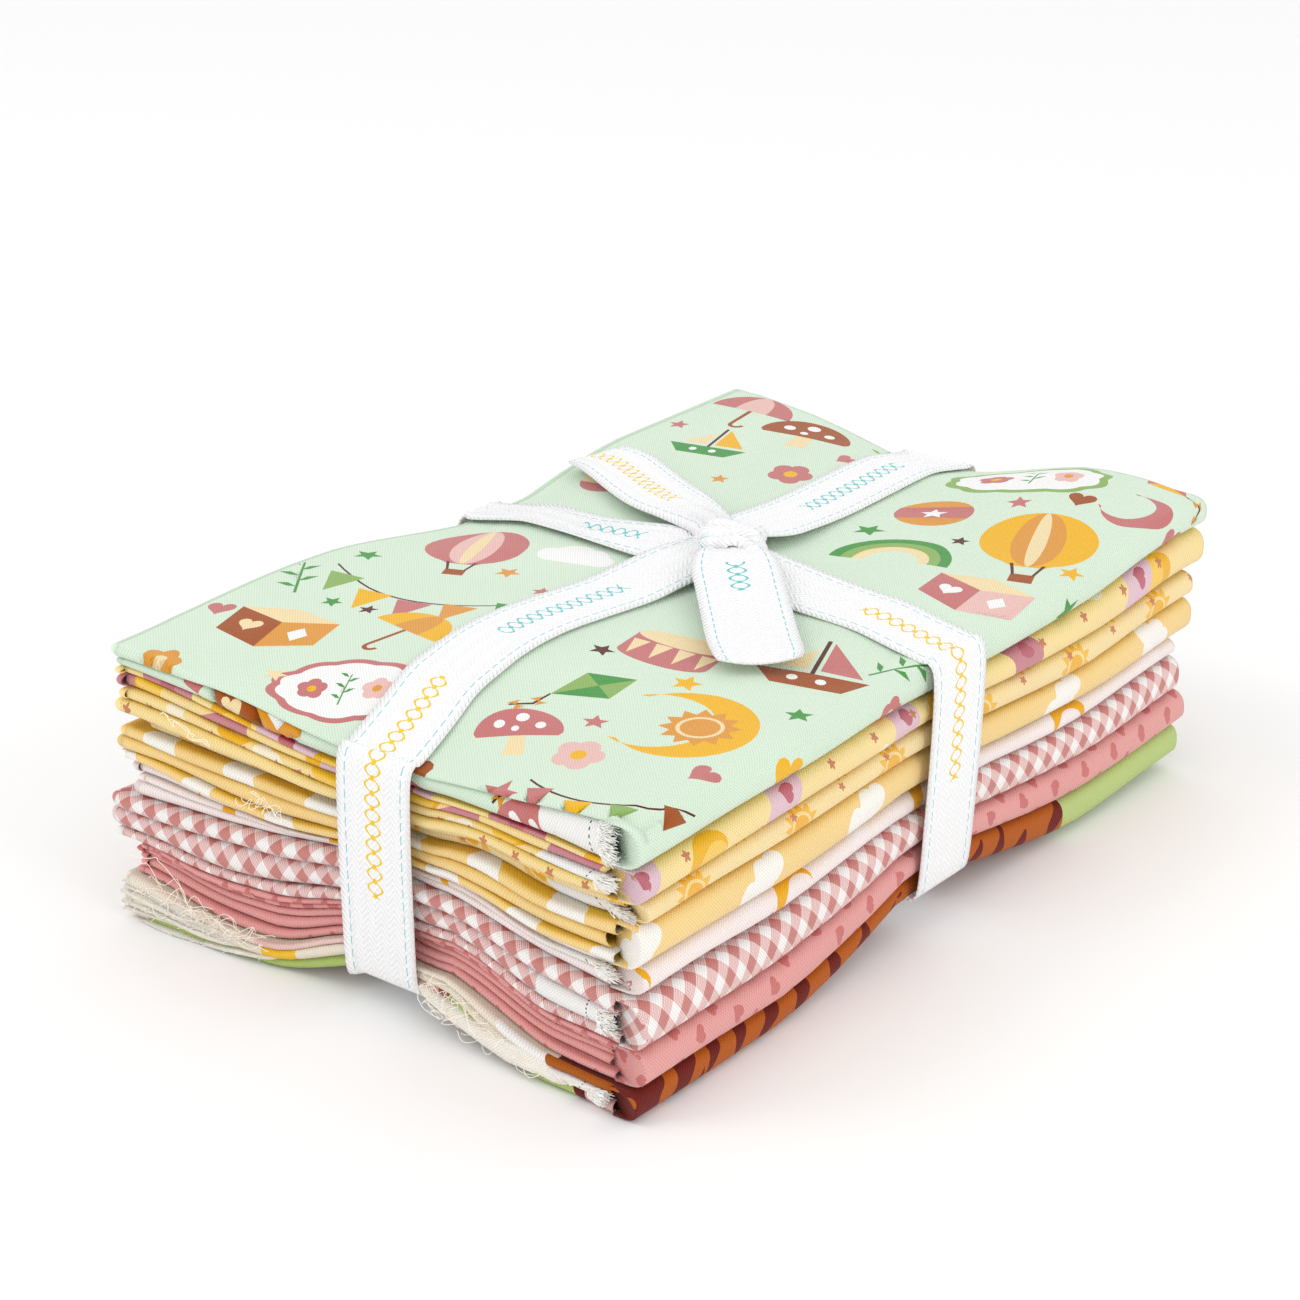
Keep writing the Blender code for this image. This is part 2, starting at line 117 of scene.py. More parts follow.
RIGHT_STANDS = [
    Stand(-0.121, 9.1, 13.1, 12.2, 10.7, 13.2, 7.5, 8.9, 11.8),
    Stand(-0.095, 8.7, 12.1, 11.7, 11.6, 12.0, 9.1, 8.8, 10.9),
    Stand(-0.067, 7.5, 13.5, 11.6, 8.4, 13.3, 8.2, 9.0, 10.4),
    Stand(-0.038, 5.9, 11.7, 11.5, 7.5, 12.4, 7.8, 9.7, 9.9),
    Stand(-0.010, 7.3, 7.3, 8.5, 7.8, 11.3, 8.0, 7.4, 11.4),
    Stand(0.025, 9.0, 9.8, 10.6, 6.2, 9.6, 8.3, 7.4, 12.4),
    Stand(0.070, 11.3, 11.8, 10.5, 6.9, 9.3, 9.7, 10.6, 10.7),
    Stand(0.106, 11.1, 12.1, 11.7, 6.2, 11.2, 8.7, 12.9, 9.6),
]
FAR_LEFT_STAND = Stand(0.0, 11.0, 11.0, 13.0, 8.5, 12.0, 7.5, 11.5, 10.5)
NEAR_FADE = 0.060
RIGHT_FADE = 0.045
STAND_BLUR = 0.007

# One row for each cloth, from the base up. bands are the shares of its near folds in its height. near, far,
# left and right are how far it stands out past the stack's outline, wrap how deep its turn round the +X side
# is, cap how far the turned-in end of that leans back, and selvage names the near folds that show one.
Cloth = namedtuple("Cloth", "name slot bands near far left right wrap cap selvage")
CLOTHS = [
    Cloth("panel_cloth", "panel_print", (0.30, 0.45, 0.25), 0.0018, -0.0080, 0.0030, -0.0005,
          0.0085, 0.0028, (1,)),
    Cloth("heart_cloth", "heart_print", (0.22, 0.27, 0.22, 0.15, 0.14), -0.0010, -0.0075, -0.0005, 0.0008,
          0.0105, 0.0026, ()),
    Cloth("gingham_cloth", "gingham", (0.20, 0.48, 0.32), 0.0015, -0.0110, 0.0085, 0.0010,
          0.0090, 0.0024, (1,)),
    Cloth("moon_cloth", "moon_print", (0.42, 0.26, 0.32), -0.0020, -0.0140, -0.0005, -0.0010,
          0.0110, 0.0026, (1,)),
    Cloth("cloud_cloth", "cloud_print", (0.22, 0.44, 0.34), 0.0010, -0.0065, 0.0042, 0.0002,
          0.0095, 0.0034, ()),
    Cloth("sun_cloth", "sun_print", (0.55, 0.45), -0.0025, -0.0050, -0.0055, 0.0000,
          0.0080, 0.0026, (0,)),
    Cloth("toy_cloth", "toy_print", (0.32, 0.26, 0.28, 0.14), 0.0005, -0.0020, 0.0020, 0.0008,
          0.0120, 0.0030, (1,)),
    Cloth("mint_cloth", "mint_print", (0.55, 0.45), 0.0015, -0.0015, 0.0035, 0.0002,
          0.0110, 0.0048, (0,)),
]
MINT = len(CLOTHS) - 1
PANEL = 0
# The step in red by which the bottom cloth's paint numbers its near folds
PANEL_CODE = 0.2

# The near folds of the bottom and the top cloth: places along X in mm, then each fold's shares of the height
BANDS_ALONG = {
    PANEL: ((-95, -80, -64, -36, -13, 17, 28, 39, 50, 60, 72, 90), (
        (0.26, 0.30, 0.36, 0.38, 0.42, 0.34, 0.30, 0.20, 0.14, 0.32, 0.42, 0.40),
        (0.44, 0.42, 0.38, 0.38, 0.42, 0.42, 0.40, 0.46, 0.52, 0.34, 0.30, 0.32),
        (0.30, 0.28, 0.26, 0.24, 0.16, 0.24, 0.30, 0.34, 0.34, 0.34, 0.28, 0.28),
    )),
    MINT: ((-95, -80, -58, 95), ((0.38, 0.42, 0.82, 0.88), (0.62, 0.58, 0.18, 0.12))),
}

# How thick a cloth is, the gap between two cloths, how near two points are welded, how wide the valley
# between two folds is and how far the far folds keep from the faces, as shares of the cloth's height, and how
# far the near folds drift. A cloth's flat width is that of the stack with an allowance for its wrap.
SHEET = 0.00045
PIECE_GAP = 0.0003
WELD = 2e-6
VALLEY = 0.05
FAR_MARGIN = 0.06
BAND_DRIFT = 0.035

# The bottom cloth's cut edges: from and to in mm, their place in its height at both ends, and how far they
# stand out in mm. No part of them lies lower than RAW_LOWEST.
RAW_LOWEST = 0.0003
Edge = namedtuple("Edge", "x0 x1 level0 level1 out")
RAW_EDGES = [
    Edge(-97.5, -60, 0.20, 0.42, 1.6), Edge(-98.5, -52, 0.33, 0.46, 2.1), Edge(-97.0, -58, 0.45, 0.52, 1.3),
    Edge(-98.5, -48, 0.57, 0.56, 2.0), Edge(-97.0, -54, 0.69, 0.62, 1.2), Edge(-97.5, -52, 0.81, 0.70, 1.9),
    Edge(-95.5, -64, 0.92, 0.82, 1.4), Edge(-90.0, -60, 0.03, 0.05, 1.8), Edge(-66.0, -38, 0.06, 0.46, 1.9),
]

# Creases in the top cloth: from and to, how high, or how deep below zero, and half their width, in mm
Crease = namedtuple("Crease", "x0 y0 x1 y1 height half")
CREASES = [
    Crease(92.5, -158, 90.5, -128, -2.4, 3.0), Crease(87.5, -158, 86, -130, 1.0, 3.8),
    Crease(-95, -118, -70, -147, 0.6, 5.0), Crease(-92, -136, -60, -143, -0.6, 4.0),
    Crease(-70, -112, -16, -138, -0.5, 9.0), Crease(22, -128, 70, -140, 0.6, 6.0),
    Crease(18, -40, 60, -52, -0.5, 9.0), Crease(24, 8, 70, -12, 0.6, 9.0),
    Crease(-30, 30, -80, 62, 0.6, 9.0), Crease(20, 30, 56, 58, -0.6, 8.0),
    Crease(-60, -20, -22, -6, 0.6, 8.0), Crease(84, 20, 92, 90, -0.5, 5.0),
    Crease(34, 128, 88, 138, 0.7, 7.0),
]

# The bottom cloth's slack folds: rows of x, the height of the middle, half the height, and how far it stands
# out, in mm
SLACK_FOLDS = (
    ((14, 12.3, 1.2, 0.6), (20, 10.2, 2.2, 1.4), (28, 7.9, 2.8, 1.9), (39, 6.2, 2.9, 2.2), (50, 4.9, 2.9, 2.5),
     (60, 4.9, 2.3, 2.4), (66, 3.7, 1.7, 1.8), (70, 3.0, 0.4, 0.4)),
    ((45, 7.8, 0.6, 0.6), (50, 7.0, 1.6, 1.7), (58, 6.4, 1.9, 2.0), (64, 5.4, 1.2, 1.3), (67, 4.8, 0.3, 0.4)),
)

# Folds: how far they bulge, how boxy they are, and how unevenly they reach
FOLD_STEPS = 9
FOLD_BULGE = 0.0032
FOLD_SHARE = 0.60
FOLD_POWER = 0.72
RAGGED = 0.0011
CLOTH_PHASE = 2.4
LAYER_PHASE = 3.7
LEFT_DEPTH = 0.0030
CORNER_STEPS = 5
CORNER_POWER = 0.6
WRAP_STEPS = 12
WRAP_POWER_OUT = 0.47
WRAP_POWER_UP = 0.80
INNER_SETBACK = 0.0130
SELVAGE_WIDTH = 0.0240
DOTS_FROM_EDGE = 0.0060
NO_SELVAGE = 0.2

# The near end of a wrap: an upright edge, then the cloth turned in across the end. Each row's share of the
# wrap's depth, of the folds' bulge, of the cap's own depth, and of the room between the two outer layers
CORNER_REACH = 0.016
CAP_ROWS = (
    (0.0, 0.0, 0.0, 0.0), (0.0, 0.80, 0.0, 0.0), (0.01, 0.98, 0.0, 0.0), (0.03, 1.0, 0.01, 0.02),
    (0.08, 0.99, 0.07, 0.04), (0.30, 0.95, 0.30, 0.06), (0.60, 0.92, 0.60, 0.10), (0.90, 0.90, 0.90, 0.14),
    (1.30, 0.88, 1.25, 0.20),
)

# The ribbon. TIE_ASIDE is how far its near strip strays from the middle, from place to place, in mm
TIE_ASIDE = ((-146, -128, -108, -90, -70, -42, -14, 2, 14), (0.0, -1.0, -4.0, -7.0, -8.5, -7.5, -4.5, -1.5, 0.0))
RIBBON_WIDTH = 0.0265
RIBBON_THICKNESS = 0.0006
# Both strips, the free ends and the band round the knot are 1.50 m, and the knot hides about 0.05 m more
TOP_CLEAR = 0.0010
BASE_CLEAR = 0.0018
EDGE_CLEAR = 0.0030
FLOOR_CLEAR = 0.0004
RING_LINES_X = tuple(0.011 * k for k in range(-7, 8))
RING_LINES_Y = tuple(0.012 * k - 0.004 for k in range(-10, 12))
EDGE_TURN = 0.0055
FACE_ROWS = ((0.0, 0.45), (0.06, 0.0), (0.35, -0.10), (0.65, -0.12), (0.93, 0.0), (1.0, 0.45))
RIBBON_COLUMNS = 11
KNOT = Vector((-0.0005, 0.0175, 0.0946))
KNOT_RISE_REACH = 0.056
KNOT_RISE_POWER = 1.7
STRIP_AT_KNOT = 0.0135
GATHER_REACH = 0.032
RING_GATHER = 0.021
UNDER = 0.0016
BUNCH = 0.36
PLEAT = 0.0013
LONG_TAIL = (
    (0.004, 0.010, 0.0925), (-0.001, 0.0145, 0.0945), (-0.007, 0.0200, 0.0958), (-0.0150, 0.0262, 0.0940),
    (-0.0249, 0.0306, 0.0930), (-0.0385, 0.0365, 0.0912), (-0.0520, 0.0438, 0.0903), (-0.0650, 0.0512, 0.0900),
    (-0.0745, 0.0560, 0.0900), (-0.0805, 0.0580, 0.0898), (-0.0858, 0.0590, 0.0894),
)
SHORT_TAIL = (
    (-0.001, 0.0190, 0.0925), (0.003, 0.0145, 0.0940), (0.008, 0.0085, 0.0958), (0.013, 0.0025, 0.0958),
    (0.019, -0.0045, 0.0942), (0.028, -0.0140, 0.0922), (0.040, -0.0270, 0.0908), (0.051, -0.0390, 0.0902),
    (0.0585, -0.0468, 0.0908), (0.0612, -0.0495, 0.0902),
)
# The band of tape round the knot: its middle, its half size across and up, how it tilts, and its own width
BAND_MIDDLE = Vector((0.0080, 0.0080, 0.0940))
BAND_ACROSS = Vector((0.80, 0.60, -0.10))
BAND_HALF = 0.0094
BAND_HIGH = 0.0066
BAND_WIDTH = 0.0155
BAND_PLEAT = 0.0013
BAND_STEPS = 26
KNOT_LUMP = (0.0076, 0.0074, 0.0046)
TAIL_ARCH = 0.0016
LONG_CURL = 0.0006
LONG_GATHER = 0.048
SHORT_CURL = 0.0010

# Stretches of the tape with a woven mark, in metres along each strip: 1 is yellow, 2 is teal
MARKS = {
    "y": ((0.238, 0.292, 2), (0.382, 0.434, 2), (0.466, 0.540, 1)),
    "x": ((0.128, 0.200, 1), (0.287, 0.309, 2)),
    "long": ((0.045, 0.105, 1),),
    "short": ((0.030, 0.047, 2),),
    "band": ((0.0, 0.0125, 2),),
}
MARK_PITCH = 0.0088
TEAL = 2

# Where each strip starts along the flat tape, and the sizes of its weave and of its dashed lines
STRIP_STARTS = {"y": 0.0, "x": 1.3, "long": 2.2, "short": 3.1, "band": 4.0}
HERRINGBONE = 0.0050
TWILL = 0.0019
DASHES_OUT = RIBBON_WIDTH * 0.385
DASH_HALF = 0.00019
DASH_PITCH = 0.0040


def smooth(t):
    t = np.clip(t, 0.0, 1.0)
    return t * t * (3 - 2 * t)


def mix(a, b, t):
    return a + (b - a) * t


def falloff(distance, flat, reach, power):
    rest = 1.0 - np.maximum(0.0, np.abs(distance) - flat) / (reach - flat)
    return np.maximum(0.0, rest) ** power


def ripple(place, wave, seed):
    """A smooth uneven line along place, between -1 and 1."""
    turn = 2 * math.pi * place / wave
    return (np.sin(turn + 1.7 * seed) + np.sin(1.63 * turn + 2.9 * seed) + np.sin(0.57 * turn + 4.1 * seed)) / 3


def graded(count, ends):
    """count + 1 places from 0 to 1, closer together near both ends."""
    t = np.linspace(0, 1, count + 1)
    return t - ends * np.sin(2 * np.pi * t) / (2 * np.pi)


def add_camera():
    back = Vector((math.sin(AZIMUTH) * math.cos(ELEVATION), -math.cos(AZIMUTH) * math.cos(ELEVATION),
                   math.sin(ELEVATION)))
    right = Vector((math.cos(AZIMUTH), math.sin(AZIMUTH), 0))
    up = back.cross(right)
    place = CENTRE + Vector((0, 0, CAMERA_AIM)) + back * CAMERA_DISTANCE
    place += right * CAMERA_ASIDE + up * CAMERA_RAISED
    data = bpy.data.cameras.new("camera")
    data.sensor_width = SENSOR
    data.lens = FOCAL_PIXELS / PICTURE_PIXELS * SENSOR
    camera = bpy.data.objects.new("camera", data)
    camera.matrix_world = Matrix.Translation(place) @ Matrix((right, up, back)).transposed().to_4x4()
    bpy.context.scene.collection.objects.link(camera)
    bpy.context.scene.camera = camera


def pinch_weight(pinch, at, spread, x, y):
    along, across, half = (x, y, HALF_Y) if pinch.axis == "y" else (y, x, HALF_X)
    inwards = np.maximum(0.0, half - pinch.sign * across) / PINCH_DEPTH[pinch.axis]
    return falloff(along - at, PINCH_FLAT, spread, PINCH_POWER) * (1 - smooth(inwards))


def base_height(x, y):
    lift = sum(p.lift * pinch_weight(p, p.lift_at, p.lift_spread, x, y) for p in PINCHES)
    beyond = np.maximum(0.0, y - FAR_LIFT_START) / (HALF_Y - FAR_LIFT_START)
    lift = lift + FAR_LIFT * beyond * np.maximum(0.0, x - FAR_LIFT_FROM) / (HALF_X - FAR_LIFT_FROM)
    off = np.minimum(np.abs(x - tie_x(y, False)), np.abs(y - tie_y(x, False)))
    return np.maximum(lift, GROOVE_DEPTH * (1 - smooth(off / GROOVE_REACH)))


def top_height(x, y):
    u = (x + HALF_X) / WIDTH
    v = (y + HALF_Y) / LENGTH
    near = mix(TOP_RISE.left, TOP_RISE.front, u)
    far = mix(TOP_RISE.back, TOP_RISE.right, u)
    press = sum(p.press * pinch_weight(p, p.head, p.press_spread, x, y) for p in PINCHES)
    puff = sum(p.height * smooth(1 - np.hypot(x - p.x, y - p.y) / p.reach) for p in PUFFS)
    return HEIGHT + mix(near, far, v) - press + puff


def stand(rows, index, place):
    """A cloth's height on one face, from its table, without the table's kinks."""
    ats = [row.at for row in rows]
    values = [row[index + 1] for row in rows]
    steps = (-STAND_BLUR, 0, STAND_BLUR)
    return sum(np.interp(place + step, ats, values) for step in steps) / len(steps)


def share(index, x, y):
    near = 1.0 / (1 + ((y + HALF_Y) / NEAR_FADE) ** 2)
    right = 1.0 / (1 + ((HALF_X - x) / RIGHT_FADE) ** 2)
    rest = (1 - near) * (1 - right) + 0.02
    total = near * stand(NEAR_STANDS, index, x) + right * stand(RIGHT_STANDS, index, y)
    return (total + rest * FAR_LEFT_STAND[index + 1]) / (near + right + rest)


def boundary(index, x, y):
    """Height of the face between one cloth and the next."""
    shares = [share(i, x, y) for i in range(len(CLOTHS))]
    base = base_height(x, y)
    return base + (top_height(x, y) - base) * sum(shares[:index]) / sum(shares)


def tie_x(y, on_top):
    near, far = (PINCHES[0].head, PINCHES[2].head) if on_top else (PINCHES[0].foot, PINCHES[2].foot)
    aside = np.interp(y * 1000, *TIE_ASIDE) / 1000 if on_top else 0.0
    return mix(near, far, smooth((y + HALF_Y) / LENGTH)) + aside


def tie_y(x, on_top):
    near, far = (PINCHES[3].head, PINCHES[1].head) if on_top else (PINCHES[3].foot, PINCHES[1].foot)
    return mix(near, far, smooth((x + HALF_X) / WIDTH))


def end_y(sign, x):
    return np.interp(x, [end.x for end in ENDS], [end.near if sign < 0 else end.far for end in ENDS])


def side_x(sign, y):
    pinch = PINCHES[1] if sign > 0 else PINCHES[3]
    return HALF_X - SIDE_DRAW * falloff(y - pinch.head, PINCH_FLAT, pinch.press_spread, PINCH_POWER)


class Sheet:
    """Gathers patches of one piece, each with its place in the flat cloth, and welds them together."""

    def __init__(self):
        self.points, self.flat, self.selvage, self.hollow, self.faces, self.paint = [], [], [], [], [], []
        self.count = 0

    def add(self, points, flat, selvage, hollow, faces, paint):
        self.points.append(points)
        self.flat.append(flat)
        self.selvage.append(selvage)
        self.hollow.append(hollow)
        self.faces += [[corner + self.count for corner in face] for face in faces]
        self.paint += paint
        self.count += len(points)

    def patch(self, points, u, v, selvage=NO_SELVAGE, colour=(1, 1, 1), hollow=0.0):
        """Adds a grid of points, rows by columns. hollow is 1 deep between two folds; it drives painted shade."""
        rows, columns = points.shape[:2]
        first = np.arange(rows * columns).reshape(rows, columns)
        corners = np.stack([first[:-1, :-1], first[:-1, 1:], first[1:, 1:], first[1:, :-1]], -1).reshape(-1, 4)
        shape = (rows, columns)
        flat = np.stack([np.broadcast_to(u, shape), np.broadcast_to(v, shape)], -1).reshape(-1, 2)
        marks = [np.broadcast_to(mark, shape).reshape(-1).astype(float) for mark in (selvage, hollow)]
        self.add(points.reshape(-1, 3), flat, *marks, corners.tolist(), [colour] * len(corners))

    def mesh(self, name):
        mesh = bpy.data.meshes.new(name)
        mesh.from_pydata(np.concatenate(self.points).tolist(), [], self.faces)
        corner = np.zeros(len(mesh.loops), int)
        mesh.loops.foreach_get("vertex_index", corner)
        mesh.uv_layers.new(name="flat")
        mesh.uv_layers[0].data.foreach_set("uv", np.concatenate(self.flat)[corner].ravel())
        for mark, values in (("selvage", self.selvage), ("hollow", self.hollow)):
            mesh.attributes.new(mark, "FLOAT", "CORNER")
            mesh.attributes[mark].data.foreach_set("value", np.concatenate(values)[corner])
        sides = [len(face) for face in self.faces]
        paint = np.repeat(np.array([(*colour, 1.0) for colour in self.paint]), sides, axis=0)
        mesh.attributes.new("paint", "FLOAT_COLOR", "CORNER")
        mesh.attributes["paint"].data.foreach_set("color", paint.ravel())
        bm = bmesh.new()
        bm.from_mesh(mesh)
        bmesh.ops.remove_doubles(bm, verts=bm.verts, dist=WELD)
        bmesh.ops.recalc_face_normals(bm, faces=bm.faces)
        for face in bm.faces:
            face.smooth = True
        bm.to_mesh(mesh)
        bm.free()
        return mesh


def piece(name, mesh, made, thickness=None):
    """An object of the bundle, thickened evenly to both sides if it is a sheet."""
    obj = bpy.data.objects.new(name, mesh)
    obj.location = CENTRE
    bpy.context.scene.collection.objects.link(obj)
    mesh.materials.append(made)
    if thickness:
        solidify = obj.modifiers.new("Solidify", "SOLIDIFY")
        solidify.thickness = thickness
        solidify.offset = 0
    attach(obj, "root")
    return obj


def layer_count(cloth):
    return 2 * len(cloth.bands)


def fold_pairs(cloth):
    """The pairs of layers that are joined by a fold at the near end, and at the far end."""
    count = layer_count(cloth)
    return [[(k, k + 1) for k in range(first, count - 1, 2)] for first in (0, 1)]


def near_levels(index, x):
    """Where every layer lies in its cloth's height at the near end: 0 to 1."""
    shares = [np.zeros_like(x) + band for band in CLOTHS[index].bands]
    if index in BANDS_ALONG:
        places, rows = BANDS_ALONG[index]
        shares = [np.interp(x * 1000, places, row) for row in rows]
    edges = np.cumsum(shares, axis=0)
    moved = [np.zeros_like(x)]
    for j, edge in enumerate(edges[:-1]):
        moved.append(edge + BAND_DRIFT * ripple(x, 0.085, index * 3 + j) * (index not in BANDS_ALONG))
    moved.append(np.zeros_like(x) + 1.0)
    levels = []
    for j in range(len(moved) - 1):
        levels.append(moved[j] + (VALLEY / 2 if j else 0))
        levels.append(moved[j + 1] - (VALLEY / 2 if j + 2 < len(moved) else 0))
    return levels


def far_levels(cloth):
    inner = np.linspace(FAR_MARGIN, 1 - FAR_MARGIN, len(cloth.bands))
    levels = [0.0]
    for low, high in zip(inner, inner[1:]):
        levels += [low + VALLEY / 2, high - VALLEY / 2]
    return [*levels, 1.0]


def crease(x, y):
    """Height that the creases add to the top cloth's upper layer."""
    height = 0.0
    for row in CREASES:
        along = np.array([row.x1 - row.x0, row.y1 - row.y0]) / 1000
        length = np.hypot(*along)
        dx, dy = x - row.x0 / 1000, y - row.y0 / 1000
        part = (dx * along[0] + dy * along[1]) / length ** 2
        aside = np.abs(dx * along[1] - dy * along[0]) / length
        fade = smooth(1.5 - 2.6 * np.abs(part - 0.5))
        height = height + row.height / 1000 * smooth(1 - aside / (row.half / 1000)) * fade
    return height


def layer_height(index, layer, x, y):
    low = boundary(index, x, y) + (PIECE_GAP + SHEET) / 2
    high = boundary(index + 1, x, y) - (PIECE_GAP + SHEET) / 2
    v = smooth((y + HALF_Y) / LENGTH)
    level = mix(near_levels(index, x)[layer], far_levels(CLOTHS[index])[layer], v)
    if index == MINT and layer == layer_count(CLOTHS[MINT]) - 1:
        high = high + crease(x, y)
    return mix(low, high, level)


def end_tip(index, pair, sign, x):
    """Y that the fold between two layers reaches, or a free edge, at one end."""
    cloth = CLOTHS[index]
    own = cloth.near if sign < 0 else cloth.far
    step = math.sin(CLOTH_PHASE * index + LAYER_PHASE * pair) - 1
    return sign * (end_y(sign, x) + own + RAGGED * step + 0.0006 * ripple(x, 0.07, index + 5 * pair))


def fold_bulge(index, pair, x, y):
    rise = layer_height(index, pair[1], x, y) - layer_height(index, pair[0], x, y)
    return np.minimum(rise * FOLD_SHARE, FOLD_BULGE)


def layer_ends(index, layer, x):
    """Y where a layer starts at the near end and stops at the far end, before any fold."""
    ends = []
    for sign, pairs in zip((-1, 1), fold_pairs(CLOTHS[index])):
        joined = [p for p in pairs if layer in p]
        tip = end_tip(index, joined[0][0] if joined else layer, sign, x)
        if joined:
            tip = tip - sign * fold_bulge(index, joined[0], x, tip)
        ends.append(tip)
    return ends


def layer_sides(index, layer, y):
    """X where a layer starts at the left and stops at the right."""
    cloth = CLOTHS[index]
    own = cloth.left * np.maximum(0.0, -y / HALF_Y)
    pair = layer // 2
    left = -(side_x(-1, y) + own + RAGGED * (math.sin(CLOTH_PHASE * index + LAYER_PHASE * pair) - 1))
    last = layer_count(cloth) - 1
    back = cloth.wrap
    if layer not in (0, last):
        back = INNER_SETBACK + RAGGED * math.sin(LAYER_PHASE * layer + index)
        if layer in (1, last - 1) and pair not in cloth.selvage:
            back = mix(cloth.wrap, back, smooth((y + HALF_Y) / CORNER_REACH))
    return left + LEFT_DEPTH, side_x(1, y) + cloth.right - back


def layer_points(index, layer, s, t):
    """Points of one layer, rows t by columns s, both from 0 to 1."""
    s, t = np.meshgrid(s, t)
    left, right = layer_sides(index, layer, -HALF_Y + t * LENGTH)
    x = mix(left, right, s)
    near, far = layer_ends(index, layer, x)
    y = mix(near, far, t)
    return np.stack([x, y, layer_height(index, layer, x, y)], -1)


def fold_points(start, finish, sign, bulge, crisp):
    """Rows round the fold from one layer's end row to another's, which are left out."""
    rows = []
    for step in range(1, FOLD_STEPS):
        angle = math.pi * step / FOLD_STEPS
        row = mix(start, finish, (1 - math.cos(angle)) / 2)
        row[:, 1] += sign * bulge * math.sin(angle) ** crisp
        rows.append(row)
    return np.stack(rows)


def wrap_points(low, high, reach, inset=0.0):
    """Columns round the +X side, from one layer's side to another's, or inset from there."""
    columns = []
    for step in range(WRAP_STEPS + 1):
        angle = math.pi * (step / WRAP_STEPS - 0.5)
        turn = math.copysign(abs(math.sin(angle)) ** WRAP_POWER_UP, math.sin(angle))
        column = mix(low, high, (1 + turn) / 2)
        column[:, 0] += (reach - inset) * max(0.0, math.cos(angle)) ** WRAP_POWER_OUT
        columns.append(column)
    return np.stack(columns, 1)


def fold_hollow(rows):
    """How deep each row round a fold lies between its neighbours: 1 at both ends. Shade is painted by it."""
    return (1 - np.sin(np.linspace(0, math.pi, rows)) ** 0.7)[:, None]


# How deep each column round a wrap lies next to the layers: shade is painted by it
def wrap_hollow():
    return np.abs(np.sin(np.linspace(-math.pi / 2, math.pi / 2, WRAP_STEPS + 1))) ** 7


def run_length(points):
    """Length along a line of points up to each of them."""
    steps = np.linalg.norm(np.diff(points, axis=0), axis=1)
    return np.concatenate([[0], np.cumsum(steps)])


def cloth_sheet(index, s, t):
    """All of one cloth: its layers, the folds at both ends, the turns round both sides."""
    cloth = CLOTHS[index]
    sheet = Sheet()
    count = layer_count(cloth)
    layers = [layer_points(index, k, s, t) for k in range(count)]
    starts = np.zeros(count)
    u = layers[0][0, :, 0]
    middle = len(s) // 2
    near, far = fold_pairs(cloth)
    ground = PAINTS["mint"] if index == MINT else (1, 1, 1)
    printed = index == MINT
    for k, points in enumerate(layers):
        v = run_length(points[:, middle])
        joined = [p for p in near if k in p]
        shows = joined and near.index(joined[0]) in cloth.selvage
        edge = (points[0, -1, 0] - points[0, :, 0]) if shows else NO_SELVAGE
        starts[k] = k * LENGTH
        flat = starts[k] + (v if k % 2 else v[-1] - v)
        if not (printed and k == count - 1):
            # Whole layers are marked hollow, so the materials paint them in shade
            sheet.patch(points, u, flat[:, None], edge, ground, 1.0)
    for sign, pairs in ((-1, near), (1, far)):
        for number, (a, b) in enumerate(pairs):
            row = 0 if sign < 0 else -1
            start, finish = layers[a][row], layers[b][row]
            tip = end_tip(index, a, sign, start[:, 0])
            crisp = FOLD_POWER + 0.15 * math.sin(3.1 * a + index)
            rows = fold_points(start, finish, sign, np.abs(tip - start[:, 1]), crisp)
            rows = np.concatenate([start[None], rows, finish[None]])
            length = run_length(rows[:, middle])
            shows = sign < 0 and number in cloth.selvage
            edge = rows[:, -1:, 0] - rows[:, :, 0] if shows else NO_SELVAGE
            if printed and sign < 0:
                if b < count - 1:
                    v = -HALF_Y + length - length[-1]
                    add_printed(sheet, rows, u, v, motif_shapes(*LOWER_PRINT), edge, fold_hollow(len(rows)))
                else:
                    top_print(sheet, index, rows, layers[b], u, length, motif_shapes(0, 0))
            else:
                colour = (PANEL_CODE * (number + 1), 0, 0) if index == PANEL and sign < 0 else ground
                sheet.patch(rows, u, (starts[b] + length - length[-1])[:, None], edge, colour,
                            fold_hollow(len(rows)))
    for a, b in near:
        add_left_turn(sheet, index, layers[a], layers[b], starts[b], ground)
    if not printed:
        add_wrap(sheet, index, layers[0][:, -1], layers[-1][:, -1], starts[-1], ground)
    add_cap(sheet, index, layers, starts[-1], ground)
    if index == PANEL:
        add_raw_edges(sheet)
        add_slack_folds(sheet)
    return sheet


def add_raw_edges(sheet):
    """The cut edges of the bottom cloth's layers that fan out left of the tape."""
    for number, edge in enumerate(RAW_EDGES):
        x, front, z = raw_edge(edge, number)
        tip = end_tip(PANEL, 0, -1, x)
        rows = [np.stack([x, tip + 0.003, z + 0.0002], -1), np.stack([x, mix(front, tip, 0.4), z + 0.0001], -1),
                np.stack([x, front, np.maximum(z - 0.0004, RAW_LOWEST)], -1)]
        # Painted shade, deepest at the back of each cut edge
        sheet.patch(np.stack(rows), x, np.array([[0.0], [0.004], [0.006]]), NO_SELVAGE, (PANEL_CODE * 4, 0, 0),
                    np.array([[0.6], [0.1], [0.0]]))


